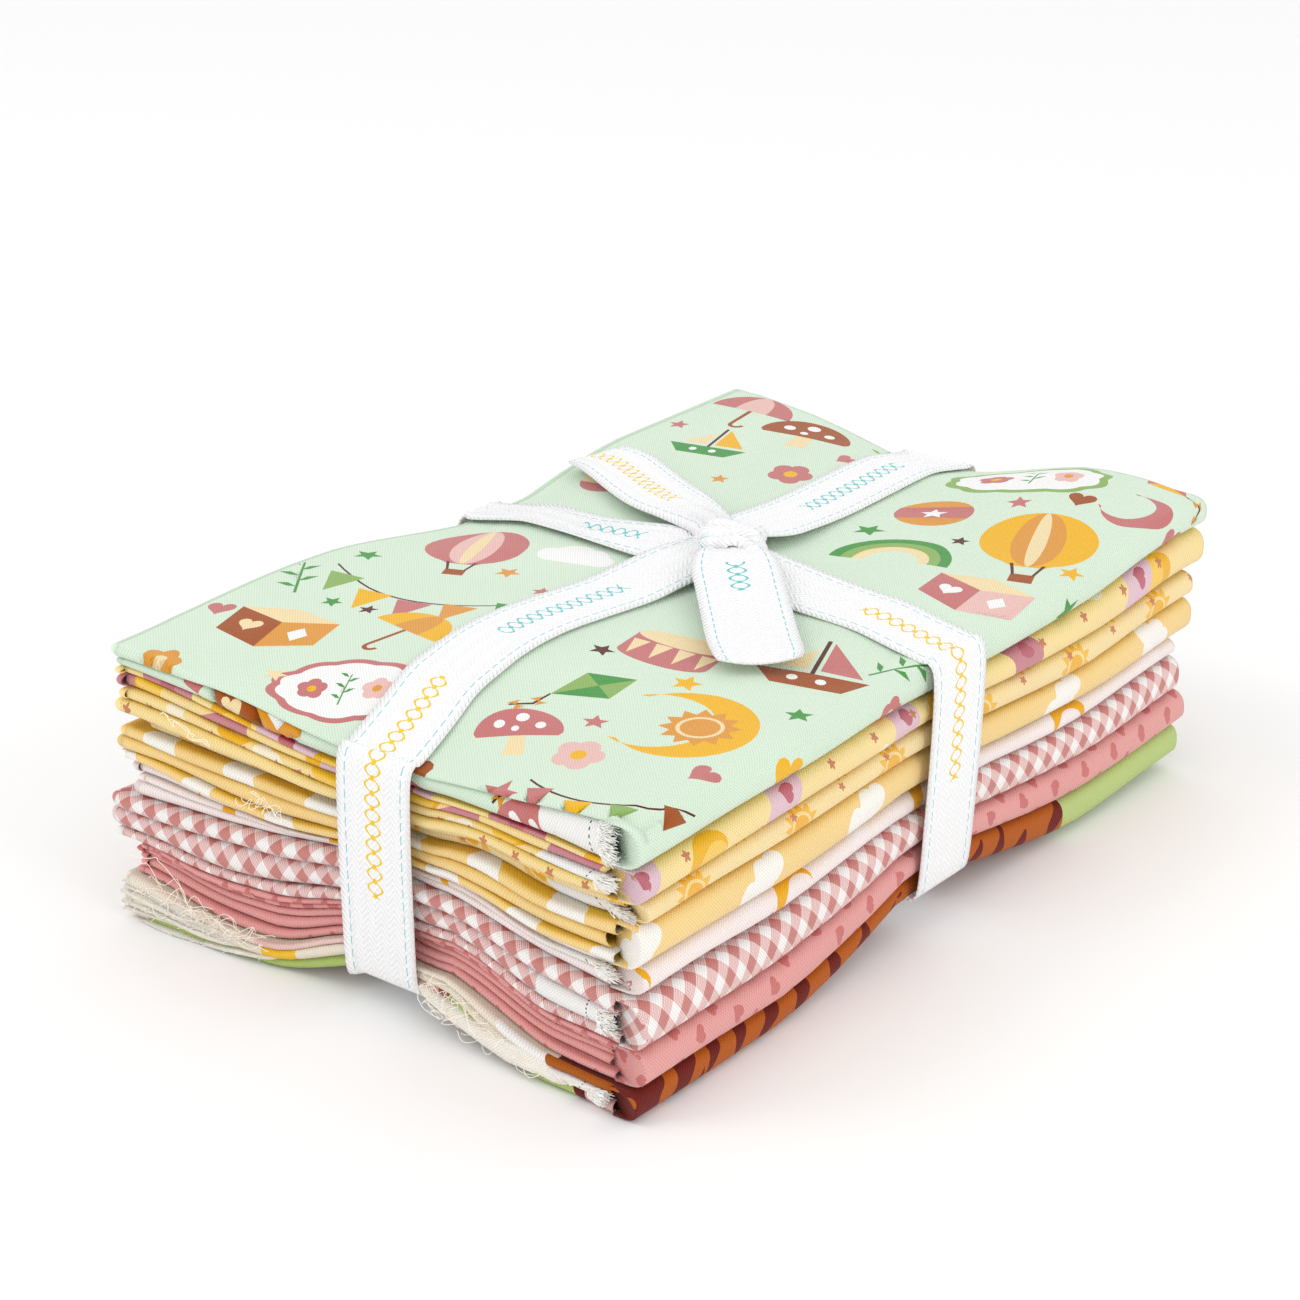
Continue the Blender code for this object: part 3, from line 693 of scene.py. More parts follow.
def raw_edge(edge, number):
    """Places along one cut edge: x, the y of the edge, and its height."""
    t = np.linspace(0, 1, 34)
    x = mix(edge.x0, edge.x1, t) / 1000
    tip = end_tip(PANEL, 0, -1, x)
    base, top = boundary(PANEL, x, tip), boundary(PANEL + 1, x, tip)
    z = mix(base, top, mix(edge.level0, edge.level1, t)) + 0.00025 * ripple(x, 0.042, number)
    out = edge.out / 1000 * np.sin(math.pi * mix(0.10, 1.0, t)) ** 0.35
    return x, tip - out + 0.0006 * ripple(x, 0.046, number + 3), z


def add_slack_folds(sheet):
    """The bottom cloth's loose folds in front of the others, right of the tape."""
    for number, rows in enumerate(SLACK_FOLDS):
        stops = np.array(rows)
        x = np.linspace(stops[0, 0], stops[-1, 0], 40)
        middle, half, out = (np.interp(x, stops[:, 0], stops[:, k]) / 1000 for k in (1, 2, 3))
        x = x / 1000
        half = half * (1 + 0.10 * ripple(x, 0.021, number))
        tip = end_tip(PANEL, 0, -1, x)
        points = []
        for step in range(FOLD_STEPS + 1):
            angle = math.pi * step / FOLD_STEPS
            front = tip + 0.0035 - (out + 0.0035) * math.sin(angle) ** 0.5
            points.append(np.stack([x, front, middle - half * math.cos(angle)], -1))
        points = np.stack(points)
        points[..., 2] = np.maximum(points[..., 2], 0.0006)
        points[..., 1] += 0.0003 * ripple(x * 0.6 + points[..., 2], 0.009, number + 2)
        v = run_length(points[:, 20])
        # Painted shade at the top and the bottom of each slack fold
        sheet.patch(points, x, v[:, None], NO_SELVAGE, (PANEL_CODE * 4, 0, 0), fold_hollow(FOLD_STEPS + 1) * 0.8)


def add_left_turn(sheet, index, low, high, start, ground):
    """The turn round the -X side between two layers, and the rounded corner at its near end."""
    low, high = low[:, 0], high[:, 0]
    bulge = np.abs(end_tip(index, 0, -1, low[:1, 0]) - low[:1, 1])[0]
    fold = max(0.0012, bulge)
    columns = []
    corner = []
    for step in range(FOLD_STEPS + 1):
        angle = math.pi * step / FOLD_STEPS
        out = max(0.0, math.sin(angle)) ** FOLD_POWER
        column = mix(low, high, (1 - math.cos(angle)) / 2)
        base = column[0].copy()
        column[:, 0] -= LEFT_DEPTH * out
        columns.append(column)
        arc = []
        for part in range(CORNER_STEPS + 1):
            turn = math.pi / 2 * part / CORNER_STEPS
            aside, along = math.sin(turn) ** CORNER_POWER, math.cos(turn) ** CORNER_POWER
            arc.append(base + (-LEFT_DEPTH * aside * out, -fold * along * out, 0))
        corner.append(arc)
    points = np.stack(columns, 1)
    u = low[0, 0] - run_length(points[len(points) // 2])[::-1]
    v = start + run_length(points[:, 0])
    # Painted shade in the turn's hollows, deepest where it meets the layers
    deep = fold_hollow(FOLD_STEPS + 1)
    sheet.patch(points, u, v[:, None], NO_SELVAGE, ground, deep[:, 0])
    sheet.patch(np.array(corner), low[0, 0], start, NO_SELVAGE, ground, deep)


def wrap_reach(index, low, high):
    y = (low[:, 1] + high[:, 1]) / 2
    reach = side_x(1, y) + CLOTHS[index].right - SHEET / 2 - (low[:, 0] + high[:, 0]) / 2
    return reach + 0.0005 * ripple(y, 0.11, index)


def add_wrap(sheet, index, low, high, start, ground):
    points = wrap_points(low, high, wrap_reach(index, low, high))
    length = run_length(points[len(points) // 2])
    u = high[0, 0] + length[-1] - length
    sheet.patch(points, u, (start + run_length(high))[:, None], NO_SELVAGE, ground, wrap_hollow())


def add_cap(sheet, index, layers, start, ground):
    """The near end of the wrap: a sharp upright edge, and the cloth turned in across the end behind it."""
    low, under = layers[0][:1, -1], layers[1][:1, -1]
    high, over = layers[-1][:1, -1], layers[-2][:1, -1]
    reach = wrap_reach(index, low, high)
    bulge = abs(end_tip(index, 0, -1, low[0, 0]) - low[0, 1])
    rows = []
    for tuck, out, depth, squeeze in CAP_ROWS:
        lower = low + (0, 0, 1) * (under - low) * squeeze
        upper = high + (0, 0, 1) * (over - high) * squeeze
        row = wrap_points(lower, upper, reach, reach * tuck)[0]
        row[:, 1] += CLOTHS[index].cap * depth - bulge * out
        rows.append(row)
    rows = np.stack(rows)
    length = run_length(rows[0])
    u = high[0, 0] + length[-1] - length
    v = start - run_length(rows[:, WRAP_STEPS // 2])
    # Painted shade, deepest where the turned-in end leans furthest back
    deep = np.array([[0.4 * row[2] for row in CAP_ROWS]]).T
    sheet.patch(rows, u, v[:, None], NO_SELVAGE, ground, deep)


def srgb(red, green, blue):
    """A linear colour from one given as 0 to 255."""
    return tuple((c / 12.92 if c <= 0.04045 else ((c + 0.055) / 1.055) ** 2.4) for c in
                 (red / 255, green / 255, blue / 255))


# Colours of the mint print
PAINTS = {
    "mint": srgb(221, 240, 218),
    "rose": srgb(205, 122, 120),
    "blush": srgb(240, 196, 188),
    "brown": srgb(168, 84, 26),
    "maroon": srgb(92, 36, 24),
    "mustard": srgb(247, 188, 10),
    "ochre": srgb(230, 158, 60),
    "cream": srgb(248, 226, 176),
    "white": srgb(252, 252, 250),
    "green": srgb(72, 156, 70),
    "lime": srgb(146, 184, 100),
    "grey": srgb(70, 68, 72),
}
LOWER_PRINT = (0.022, -0.036)
PRINT_SCALE = 1.42
LINE_CLEAR = 0.00035


def arc(rx, ry=None, start=0.0, end=360.0, count=24, cx=0.0, cy=0.0):
    """Points of an ellipse or part of one. Lengths in mm, angles in degrees."""
    ry = rx if ry is None else ry
    whole = end - start >= 360
    steps = count if whole else count + 1
    angles = [math.radians(start + (end - start) * k / count) for k in range(steps)]
    return [(cx + rx * math.cos(a), cy + ry * math.sin(a)) for a in angles]


def star(colour, size, points=5, inner=0.45):
    angles = [math.pi / 2 + math.pi * k / points for k in range(2 * points)]
    radii = [size if k % 2 == 0 else size * inner for k in range(2 * points)]
    return [(colour, [(r * math.cos(a), r * math.sin(a)) for r, a in zip(radii, angles)])]


def heart(colour, size):
    turns = [2 * math.pi * k / 22 for k in range(22)]
    line = [(16 * math.sin(a) ** 3, 13 * math.cos(a) - 5 * math.cos(2 * a) - 2 * math.cos(3 * a)
             - math.cos(4 * a)) for a in turns]
    return [(colour, [(x * size / 16, y * size / 16) for x, y in line])]


def crescent(colour, size):
    outer = arc(size, start=40, end=320, count=24)
    inner = [(size * 0.42 + size * 0.80 * math.cos(math.radians(a)), size * 0.80 * math.sin(math.radians(a)))
             for a in range(306, 53, -14)]
    return [(colour, outer + inner)]


def cloud(colour, size):
    lobes = [(-0.55, 0.0, 0.34), (-0.12, 0.22, 0.46), (0.36, 0.12, 0.38), (0.68, -0.06, 0.26)]
    parts = [(colour, arc(r * size, count=16, cx=x * size, cy=y * size)) for x, y, r in lobes]
    return [*parts, (colour, scaled(size, *box(-0.62, -0.34, 0.74, 0.0)))]


def box(left, bottom, right, top):
    return [(left, bottom), (right, bottom), (right, top), (left, top)]


def scaled(size, *points):
    return [(x * size, y * size) for x, y in points]


def balloon(first, second, size):
    basket = scaled(size, *box(-0.20, -1.62, 0.20, -1.32))
    cords = scaled(size, (-0.30, -0.92), (-0.24, -0.92), (-0.14, -1.34), (-0.19, -1.34))
    mirrored = [(-x, y) for x, y in cords]
    skirt = scaled(size, (-0.62, -0.72), (0.62, -0.72), (0.28, -1.02), (-0.28, -1.02))
    return [(first, skirt), (first, arc(size, count=32)), (second, arc(0.44 * size, size, count=28)),
            ("cream", arc(0.14 * size, size, count=24)), ("brown", basket), ("maroon", cords),
            ("maroon", mirrored)]


def rainbow(colours, size):
    parts = []
    for k, colour in enumerate([*colours, "mint"]):
        radius = size * (1 - 0.19 * k)
        parts.append((colour, arc(radius, start=0, end=180, count=24) + [(-radius, -0.05), (radius, -0.05)]))
    return parts


def mushroom(cap, size):
    stem = scaled(size, (-0.22, -0.80), (0.26, -0.80), (0.18, 0.1), (-0.15, 0.1))
    top = arc(size, 0.82 * size, 0, 180, 22) + scaled(size, (-0.92, -0.12), (0.92, -0.12))
    dots = [(-0.46, 0.28, 0.13), (0.02, 0.50, 0.15), (0.46, 0.24, 0.12), (-0.08, 0.12, 0.09)]
    return [("cream", stem), (cap, top),
            *(("white", arc(r * size, count=12, cx=x * size, cy=y * size)) for x, y, r in dots)]


def flower(petal, heart_colour, size):
    parts = []
    for k in range(5):
        a = 2 * math.pi * k / 5 + 0.3
        parts.append((petal, arc(0.46 * size, count=14, cx=0.52 * size * math.cos(a),
                                 cy=0.52 * size * math.sin(a))))
    return [*parts, (heart_colour, arc(0.30 * size, count=12))]


def sprig(colour, size):
    parts = [(colour, scaled(size, (-0.04, -1), (0.04, -1), (0.10, 1), (0.04, 1)))]
    for k in range(5):
        side = 1 if k % 2 else -1
        base = -0.62 * size + 0.36 * size * k
        leaf = [(0.0, base), (side * 0.22 * size, base + 0.05 * size), (side * 0.52 * size, base + 0.30 * size),
                (side * 0.22 * size, base + 0.27 * size)]
        parts.append((colour, leaf))
    return parts


def block(first, second, third, size):
    h = size * 0.5
    front = [(-size, -h * 0.7), (0, -h * 1.4), (0, h * 0.6), (-size, h * 1.2)]
    side = [(0, -h * 1.4), (size, -h * 0.7), (size, h * 1.2), (0, h * 0.6)]
    top = [(-size, h * 1.2), (0, h * 0.6), (size, h * 1.2), (0, h * 1.75)]
    mark = heart(third, size * 0.24)[0][1]
    gem = [(0.5 * size + x * size, -0.02 * size + y * size) for x, y in ((0, 0.26), (0.2, 0), (0, -0.26),
                                                                          (-0.2, 0))]
    return [(first, front), (second, side), ("cream", top), (third, [(x - 0.5 * size, y) for x, y in mark]),
            ("white", gem)]


def bunting(colours, size):
    """Flags on a slack string, size across."""
    parts = []
    string_low, string_high = [], []
    for k in range(17):
        u = -1 + k / 8
        y = 0.20 * size * (u * u - 1)
        string_low.append((u * size / 2, y - 0.30))
        string_high.append((u * size / 2, y + 0.30))
    parts.append(("maroon", string_low + string_high[::-1]))
    for k, colour in enumerate(colours):
        u = -0.8 + 1.6 * k / (len(colours) - 1)
        y = 0.20 * size * (u * u - 1) - 0.3
        half = size * 0.082
        x = u * size / 2
        parts.append((colour, [(x - half, y), (x + half, y), (x, y - 2.3 * half)]))
    return parts


def kite(first, second, size):
    left, right, top, low, mid = scaled(size, (-0.62, 0.1), (0.62, 0.1), (0, 1), (0, -1), (0, 0.1))
    tail = scaled(size, (-0.03, -1), (0.03, -1), (0.30, -1.5), (0.12, -2.0), (0.06, -2.0), (0.22, -1.5))
    return [("maroon", tail), (first, [left, mid, top]), (second, [mid, right, top]),
            (second, [left, low, mid]), (first, [mid, low, right]), *bows(size)]


def bows(size):
    parts = []
    for x, y in ((0.20, -1.35), (0.16, -1.85)):
        cx, cy, r = x * size, y * size, 0.15 * size
        parts.append(("ochre", [(cx, cy), (cx - r, cy + r), (cx - r, cy - r)]))
        parts.append(("ochre", [(cx, cy), (cx + r, cy + r), (cx + r, cy - r)]))
    return parts


def boat(hull, sail, size):
    body = scaled(size, (-1, 0), (1, 0), (0.62, -0.52), (-0.62, -0.52))
    mast = scaled(size, *box(-0.05, 0, 0.03, 1.25))
    large = scaled(size, (0.10, 0.14), (0.86, 0.14), (0.10, 1.2))
    small = scaled(size, (-0.12, 0.14), (-0.70, 0.14), (-0.12, 0.92))
    return [(hull, body), ("maroon", mast), (sail, large), ("cream", small),
            ("white", arc(0.10 * size, count=10, cx=-0.3 * size, cy=-0.24 * size)),
            ("white", arc(0.10 * size, count=10, cx=0.2 * size, cy=-0.24 * size))]


def ball(first, second, size):
    band = arc(size, start=-24, end=24, count=8) + arc(size, start=156, end=204, count=8)
    return [(first, arc(size, count=28)), (second, band),
            *star("white", 0.36 * size)]


def sun(colour, size):
    return [*star(colour, size, 12, 0.72), ("cream", arc(0.58 * size, count=22)),
            (colour, arc(0.48 * size, count=22))]


def umbrella(first, second, size):
    top = arc(size, 0.9 * size, 0, 180, 24)
    stick = scaled(size, *box(-0.05, -0.9, 0.05, 0.1))
    hook = arc(0.20 * size, start=180, end=360, count=10, cx=0.15 * size, cy=-0.9 * size)
    hook += arc(0.10 * size, start=180, end=360, count=10, cx=0.15 * size, cy=-0.9 * size)[::-1]
    gore = arc(0.40 * size, 0.9 * size, 0, 180, 18)
    return [("brown", stick), ("brown", hook), (first, top), (second, gore)]


def badge(rim, size):
    """A white plaque with a scalloped coloured rim, flowers in it."""
    edge = []
    for k in range(96):
        a = 2 * math.pi * k / 96
        radius = size * (1 + 0.07 * abs(math.sin(5 * a)))
        edge.append((radius * math.cos(a), 0.62 * radius * math.sin(a)))
    inner = [(0.88 * x, 0.85 * y) for x, y in edge]
    parts = [(rim, edge), ("white", inner)]
    for motif, x in ((flower("rose", "mustard", 0.22 * size), -0.45), (sprig("green", 0.30 * size), 0.0),
                     (flower("blush", "ochre", 0.22 * size), 0.45)):
        parts += [(colour, [(a + x * size, b) for a, b in line]) for colour, line in motif]
    return parts


def drum(first, second, size):
    body = [(-size, 0.4 * size), *arc(size, 0.35 * size, 180, 360, 14, 0, -0.6 * size), (size, 0.4 * size)]
    parts = [(first, body), ("cream", arc(size, 0.35 * size, count=24, cy=0.4 * size))]
    for k in range(4):
        x = -0.75 * size + 0.5 * size * k
        parts.append((second, [(x - 0.18 * size, 0.02 * size), (x + 0.18 * size, 0.02 * size),
                               (x, -0.72 * size)]))
    return parts


# The print on the mint cloth, laid out one by one: motif, x, y and turn, in mm and degrees
Motif = namedtuple("Motif", "parts x y turn")
MOTIFS = [
    # near left quarter
    Motif(balloon("rose", "blush", 11), -67, -30, 28),
    Motif(cloud("white", 10), -37, -18, 20),
    Motif(bunting(("lime", "mustard", "rose", "ochre", "green"), 50), -50, -62, 12),
    Motif(block("brown", "ochre", "cream", 11), -66, -113, 14),
    Motif(badge("rose", 15), -26, -128, 22),
    Motif(umbrella("mustard", "ochre", 10), -34, -94, -12),
    Motif(sprig("green", 8), -86, -84, 40),
    Motif(star("green", 3.2), -84, -58, 10),
    Motif(star("rose", 2.6), -24, -46, 30),
    Motif(star("ochre", 3.0), -44, -40, 0),
    Motif(star("maroon", 2.2), -54, -88, 18),
    Motif(heart("rose", 3.0), -88, -112, 20),
    Motif(star("cream", 2.6), -48, -132, 8),
    Motif(star("green", 2.4), -66, -90, 4),
    # near right quarter
    Motif(crescent("mustard", 14), 66, -92, 200),
    Motif(sun("ochre", 8), 70, -91, 0),
    Motif(drum("rose", "cream", 10), 34, -56, 10),
    Motif(mushroom("rose", 9), 32, -122, 30),
    Motif(boat("brown", "rose", 12), 74, -44, 20),
    Motif(flower("blush", "mustard", 5.5), 54, -122, 0),
    Motif(kite("green", "lime", 9), 32.7, -91, -28),
    Motif(bunting(("rose", "mustard", "lime", "brown"), 34), 74, -132, 16),
    Motif(star("mustard", 3.4), 50, -72, 14),
    Motif(star("rose", 2.8), 46, -106, 30),
    Motif(star("maroon", 2.8), 20, -72, 5),
    Motif(star("green", 3.0), 86, -68, 30),
    Motif(heart("rose", 3.4), 88, -112, -20),
    Motif(star("ochre", 2.4), 52, -28, 30),
    Motif(sprig("green", 8), 90, -22, -20),
    Motif(star("rose", 2.6), 24, -24, 12),
    # far right quarter
    Motif(balloon("mustard", "ochre", 13), 70, 74, 24),
    Motif(rainbow(("green", "lime", "cream"), 13), 42, 36, 14),
    Motif(ball("ochre", "rose", 8), 30, 78, 20),
    Motif(badge("lime", 17), 42, 114, 16),
    Motif(block("rose", "blush", "white", 11), 78, 30, 10),
    Motif(crescent("rose", 8), 84, 108, 160),
    Motif(kite("rose", "mustard", 8), 80, 134, 60),
    Motif(star("green", 3.6), 22, 56, 0),
    Motif(star("rose", 3.0), 50, 92, 30),
    Motif(heart("brown", 3.4), 66, 104, 10),
    Motif(star("mustard", 3.0), 90, 62, 12),
    Motif(flower("cream", "ochre", 5), 18, 136, 0),
    Motif(star("maroon", 2.4), 50, 60, 20),
    # far left quarter
    Motif(mushroom("brown", 12), -48, 114, 20),
    Motif(umbrella("rose", "blush", 11), -77, 118, 10),
    Motif(sprig("lime", 8), -22, 132, 10),
    Motif(star("green", 3.2), -62, 138, 10),
    Motif(flower("rose", "mustard", 6), -28, 82, 0),
    Motif(boat("green", "mustard", 10), -66, 82, 16),
    Motif(star("rose", 2.8), -88, 92, 22),
    Motif(star("ochre", 2.6), -44, 62, 30),
    Motif(heart("rose", 3.0), -22, 106, -20),
    Motif(ball("rose", "cream", 8), -74, 40, 0),
    Motif(star("maroon", 2.4), -40, 33, 0),
    # over the edges
    Motif(heart("mustard", 4.5), 101, -86, 70),
    Motif(flower("rose", "cream", 4.5), 103, -34, 0),
    Motif(star("green", 4.0), 102, 54, 30),
    Motif(heart("rose", 4.4), 103, 112, 60),
    Motif(flower("ochre", "cream", 4.5), -78, -146, 0),
    Motif(heart("brown", 4.2), 14, -147, 30),
    Motif(star("rose", 4.6), 46, -147, 0),
]


def motif_shapes(shift_x, shift_y):
    """Every motif's outlines in metres of the flat cloth, in the order they are printed."""
    shapes = []
    for motif in MOTIFS:
        turn = math.radians(motif.turn)
        cos, sin = math.cos(turn), math.sin(turn)
        cos, sin = cos * PRINT_SCALE, sin * PRINT_SCALE
        for colour, line in motif.parts:
            placed = [((motif.x + x * cos - y * sin) / 1000 + shift_x,
                       (motif.y + x * sin + y * cos) / 1000 + shift_y) for x, y in line]
            shapes.append((colour, np.array(placed)))
    return shapes


def inside(line, x, y):
    """Which points lie inside a closed line."""
    found = np.zeros(len(x), bool)
    x0, y0 = line[-1]
    for x1, y1 in line:
        crosses = (y0 > y) != (y1 > y)
        with np.errstate(divide="ignore", invalid="ignore"):
            at = (x1 - x0) * (y - y0) / (y1 - y0) + x0
        found ^= crosses & (x < at)
        x0, y0 = x1, y1
    return found


def free_of_lines(u, v, lines, notch):
    """The corners of a grid, without those inside it that lie so near to a line that they would leave slivers."""
    grid = np.stack(np.meshgrid(u, v), -1).reshape(-1, 2)
    clear = np.ones(len(grid), bool)
    for line in lines:
        near = np.nonzero((grid > line.min(0) - LINE_CLEAR).all(1) & (grid < line.max(0) + LINE_CLEAR).all(1))[0]
        start, step = line, np.roll(line, -1, 0) - line
        away = grid[near][:, None] - start
        part = ((away * step).sum(-1) / np.maximum((step * step).sum(-1), 1e-14)).clip(0, 1)
        distance = np.linalg.norm(away - part[..., None] * step, axis=-1)
        clear[near] &= (distance > LINE_CLEAR).all(1)
    rim = np.isin(grid[:, 0], (u[0], u[-1], notch[0])) | np.isin(grid[:, 1], (v[0], v[-1], notch[1]))
    return grid[clear | rim]


def add_printed(sheet, points, u, v, shapes, selvage, hollow, notch=(1, -1)):
    """Adds a grid of points with the print cut into it. u and v are its columns and rows in the flat cloth.

    What lies right of the notch and below it is left out.
    """
    order = np.argsort(v)
    v, points = v[order], points[order]
    selvage = np.broadcast_to(selvage, points.shape[:2])[order]
    hollow = np.broadcast_to(hollow, points.shape[:2])[order]
    margin = 0.0004
    used = []
    for colour, line in shapes:
        low, high = line.min(0), line.max(0)
        if low[0] < u[0] + margin or high[0] > u[-1] - margin or low[1] < v[0] + margin or high[1] > v[-1] - margin:
            line = clipped(line, u[0] + margin, u[-1] - margin, v[0] + margin, v[-1] - margin)
            if len(line) < 3:
                continue
        if line[:, 0].mean() > notch[0] and line[:, 1].mean() < notch[1]:
            continue
        used.append((colour, line))
    corners = [Vector(p) for p in free_of_lines(u, v, [line for _, line in used], notch)]
    edges = []
    for _, line in used:
        first = len(corners)
        corners += [Vector(p) for p in line]
        edges += [(first + k, first + (k + 1) % len(line)) for k in range(len(line))]
    made = delaunay_2d_cdt(corners, edges, [], 0, 1e-7, False)
    flat = np.array([tuple(p) for p in made[0]])
    faces = np.array([f for f in made[2] if len(f) == 3])
    centre = flat[faces].mean(1)
    area = np.cross(flat[faces[:, 1]] - flat[faces[:, 0]], flat[faces[:, 2]] - flat[faces[:, 0]])
    good = (np.abs(area) > 1e-13) & ~((centre[:, 0] > notch[0]) & (centre[:, 1] < notch[1]))
    faces, centre = faces[good], centre[good]
    paint = np.full(len(faces), "mint", object)
    for colour, line in used:
        low, high = line.min(0), line.max(0)
        near = np.nonzero((centre >= low).all(1) & (centre <= high).all(1))[0]
        if len(near):
            paint[near[inside(line, *centre[near].T)]] = colour
    i = np.clip(np.searchsorted(u, flat[:, 0], side="right") - 1, 0, len(u) - 2)
    j = np.clip(np.searchsorted(v, flat[:, 1], side="right") - 1, 0, len(v) - 2)
    a = ((flat[:, 0] - u[i]) / (u[i + 1] - u[i]))[:, None]
    b = ((flat[:, 1] - v[j]) / (v[j + 1] - v[j]))[:, None]

    def spread(table):
        low = table[j, i] * (1 - a) + table[j, i + 1] * a
        high = table[j + 1, i] * (1 - a) + table[j + 1, i + 1] * a
        return low * (1 - b) + high * b

    marks = [spread(mark[..., None])[:, 0] for mark in (selvage, hollow)]
    sheet.add(spread(points), flat, *marks, faces.tolist(), [PAINTS[name] for name in paint])


def clipped(line, left, right, low, high):
    """The part of a closed line inside a rectangle."""
    points = [tuple(p) for p in line]
    for axis, limit, sign in ((0, left, 1), (0, right, -1), (1, low, 1), (1, high, -1)):
        kept = []
        for first, second in zip(points, points[1:] + points[:1]):
            a, b = sign * (first[axis] - limit), sign * (second[axis] - limit)
            if a >= 0:
                kept.append(first)
            if a * b < 0:
                t = a / (a - b)
                kept.append((first[0] + t * (second[0] - first[0]), first[1] + t * (second[1] - first[1])))
        points = kept
        if not points:
            return np.zeros((0, 2))
    return np.array(points)


def top_print(sheet, index, fold, top, u, length, shapes):
    """The top layer, the fold at its near end and the turn round its +X side, as one printed surface."""
    low = layer_points(index, 0, np.array([1.0]), ROWS_FINE)[:, 0]
    wrap = wrap_points(low, top[:, -1], wrap_reach(index, low, top[:, -1]))[:, ::-1]
    upper = np.linspace(1, -1, WRAP_STEPS + 1).clip(0)
    wrap[..., 2] += (crease(wrap[..., 0], wrap[..., 1]) - crease(*top[:, -1, :2].T)[:, None]) * smooth(2 * upper)
    across = run_length(wrap[len(wrap) // 2])[1:] + u[-1]
    columns = np.concatenate([u, across])
    rows_fold = fold[:-1]
    spare = np.repeat(rows_fold[:, -1:], len(across), axis=1)
    table = np.concatenate([np.concatenate([rows_fold, spare], 1), np.concatenate([top, wrap[:, 1:]], 1)])
    v_top = -HALF_Y + run_length(top[:, len(u) // 2])
    v = np.concatenate([v_top[0] + length[:-1] - length[-1], v_top])
    # Painted shade in the hollow of the near fold and at the foot of the wrap
    hollow = np.zeros(table.shape[:2])
    hollow[:len(rows_fold)] = fold_hollow(len(fold))[:-1] * np.linspace(1, 0, len(rows_fold))[:, None]
    hollow[len(rows_fold):, len(u):] = wrap_hollow()[::-1][1:] * np.linspace(0, 1, WRAP_STEPS)
    add_printed(sheet, table, columns, v, shapes, NO_SELVAGE, hollow, (u[-1], v_top[0]))


# Places of the rows and columns of every layer, and finer ones for the printed cloth
ROWS = graded(30, 0.85)
COLUMNS = graded(46, 0.5)
ROWS_FINE = graded(84, 0.45)
COLUMNS_FINE = graded(60, 0.4)


def node_method(operation, swapped=False):
    """A method of Num that feeds its numbers to one maths node."""
    def apply(self, *others):
        return self.net.math(operation, *((*others, self) if swapped else (self, *others)))
    return apply


class Num:
    """A number in a material, which plain sums turn into nodes."""

    __add__, __radd__ = node_method("ADD"), node_method("ADD", True)
    __sub__, __rsub__ = node_method("SUBTRACT"), node_method("SUBTRACT", True)
    __mul__, __rmul__ = node_method("MULTIPLY"), node_method("MULTIPLY", True)
    __truediv__, __lt__, __gt__ = (node_method(kind) for kind in ("DIVIDE", "LESS_THAN", "GREATER_THAN"))
    floor, fract, abs = (node_method(kind) for kind in ("FLOOR", "FRACT", "ABSOLUTE"))
    sin, cos, most = (node_method(kind) for kind in ("SINE", "COSINE", "MAXIMUM"))

    def __init__(self, net, socket):
        self.net, self.socket = net, socket


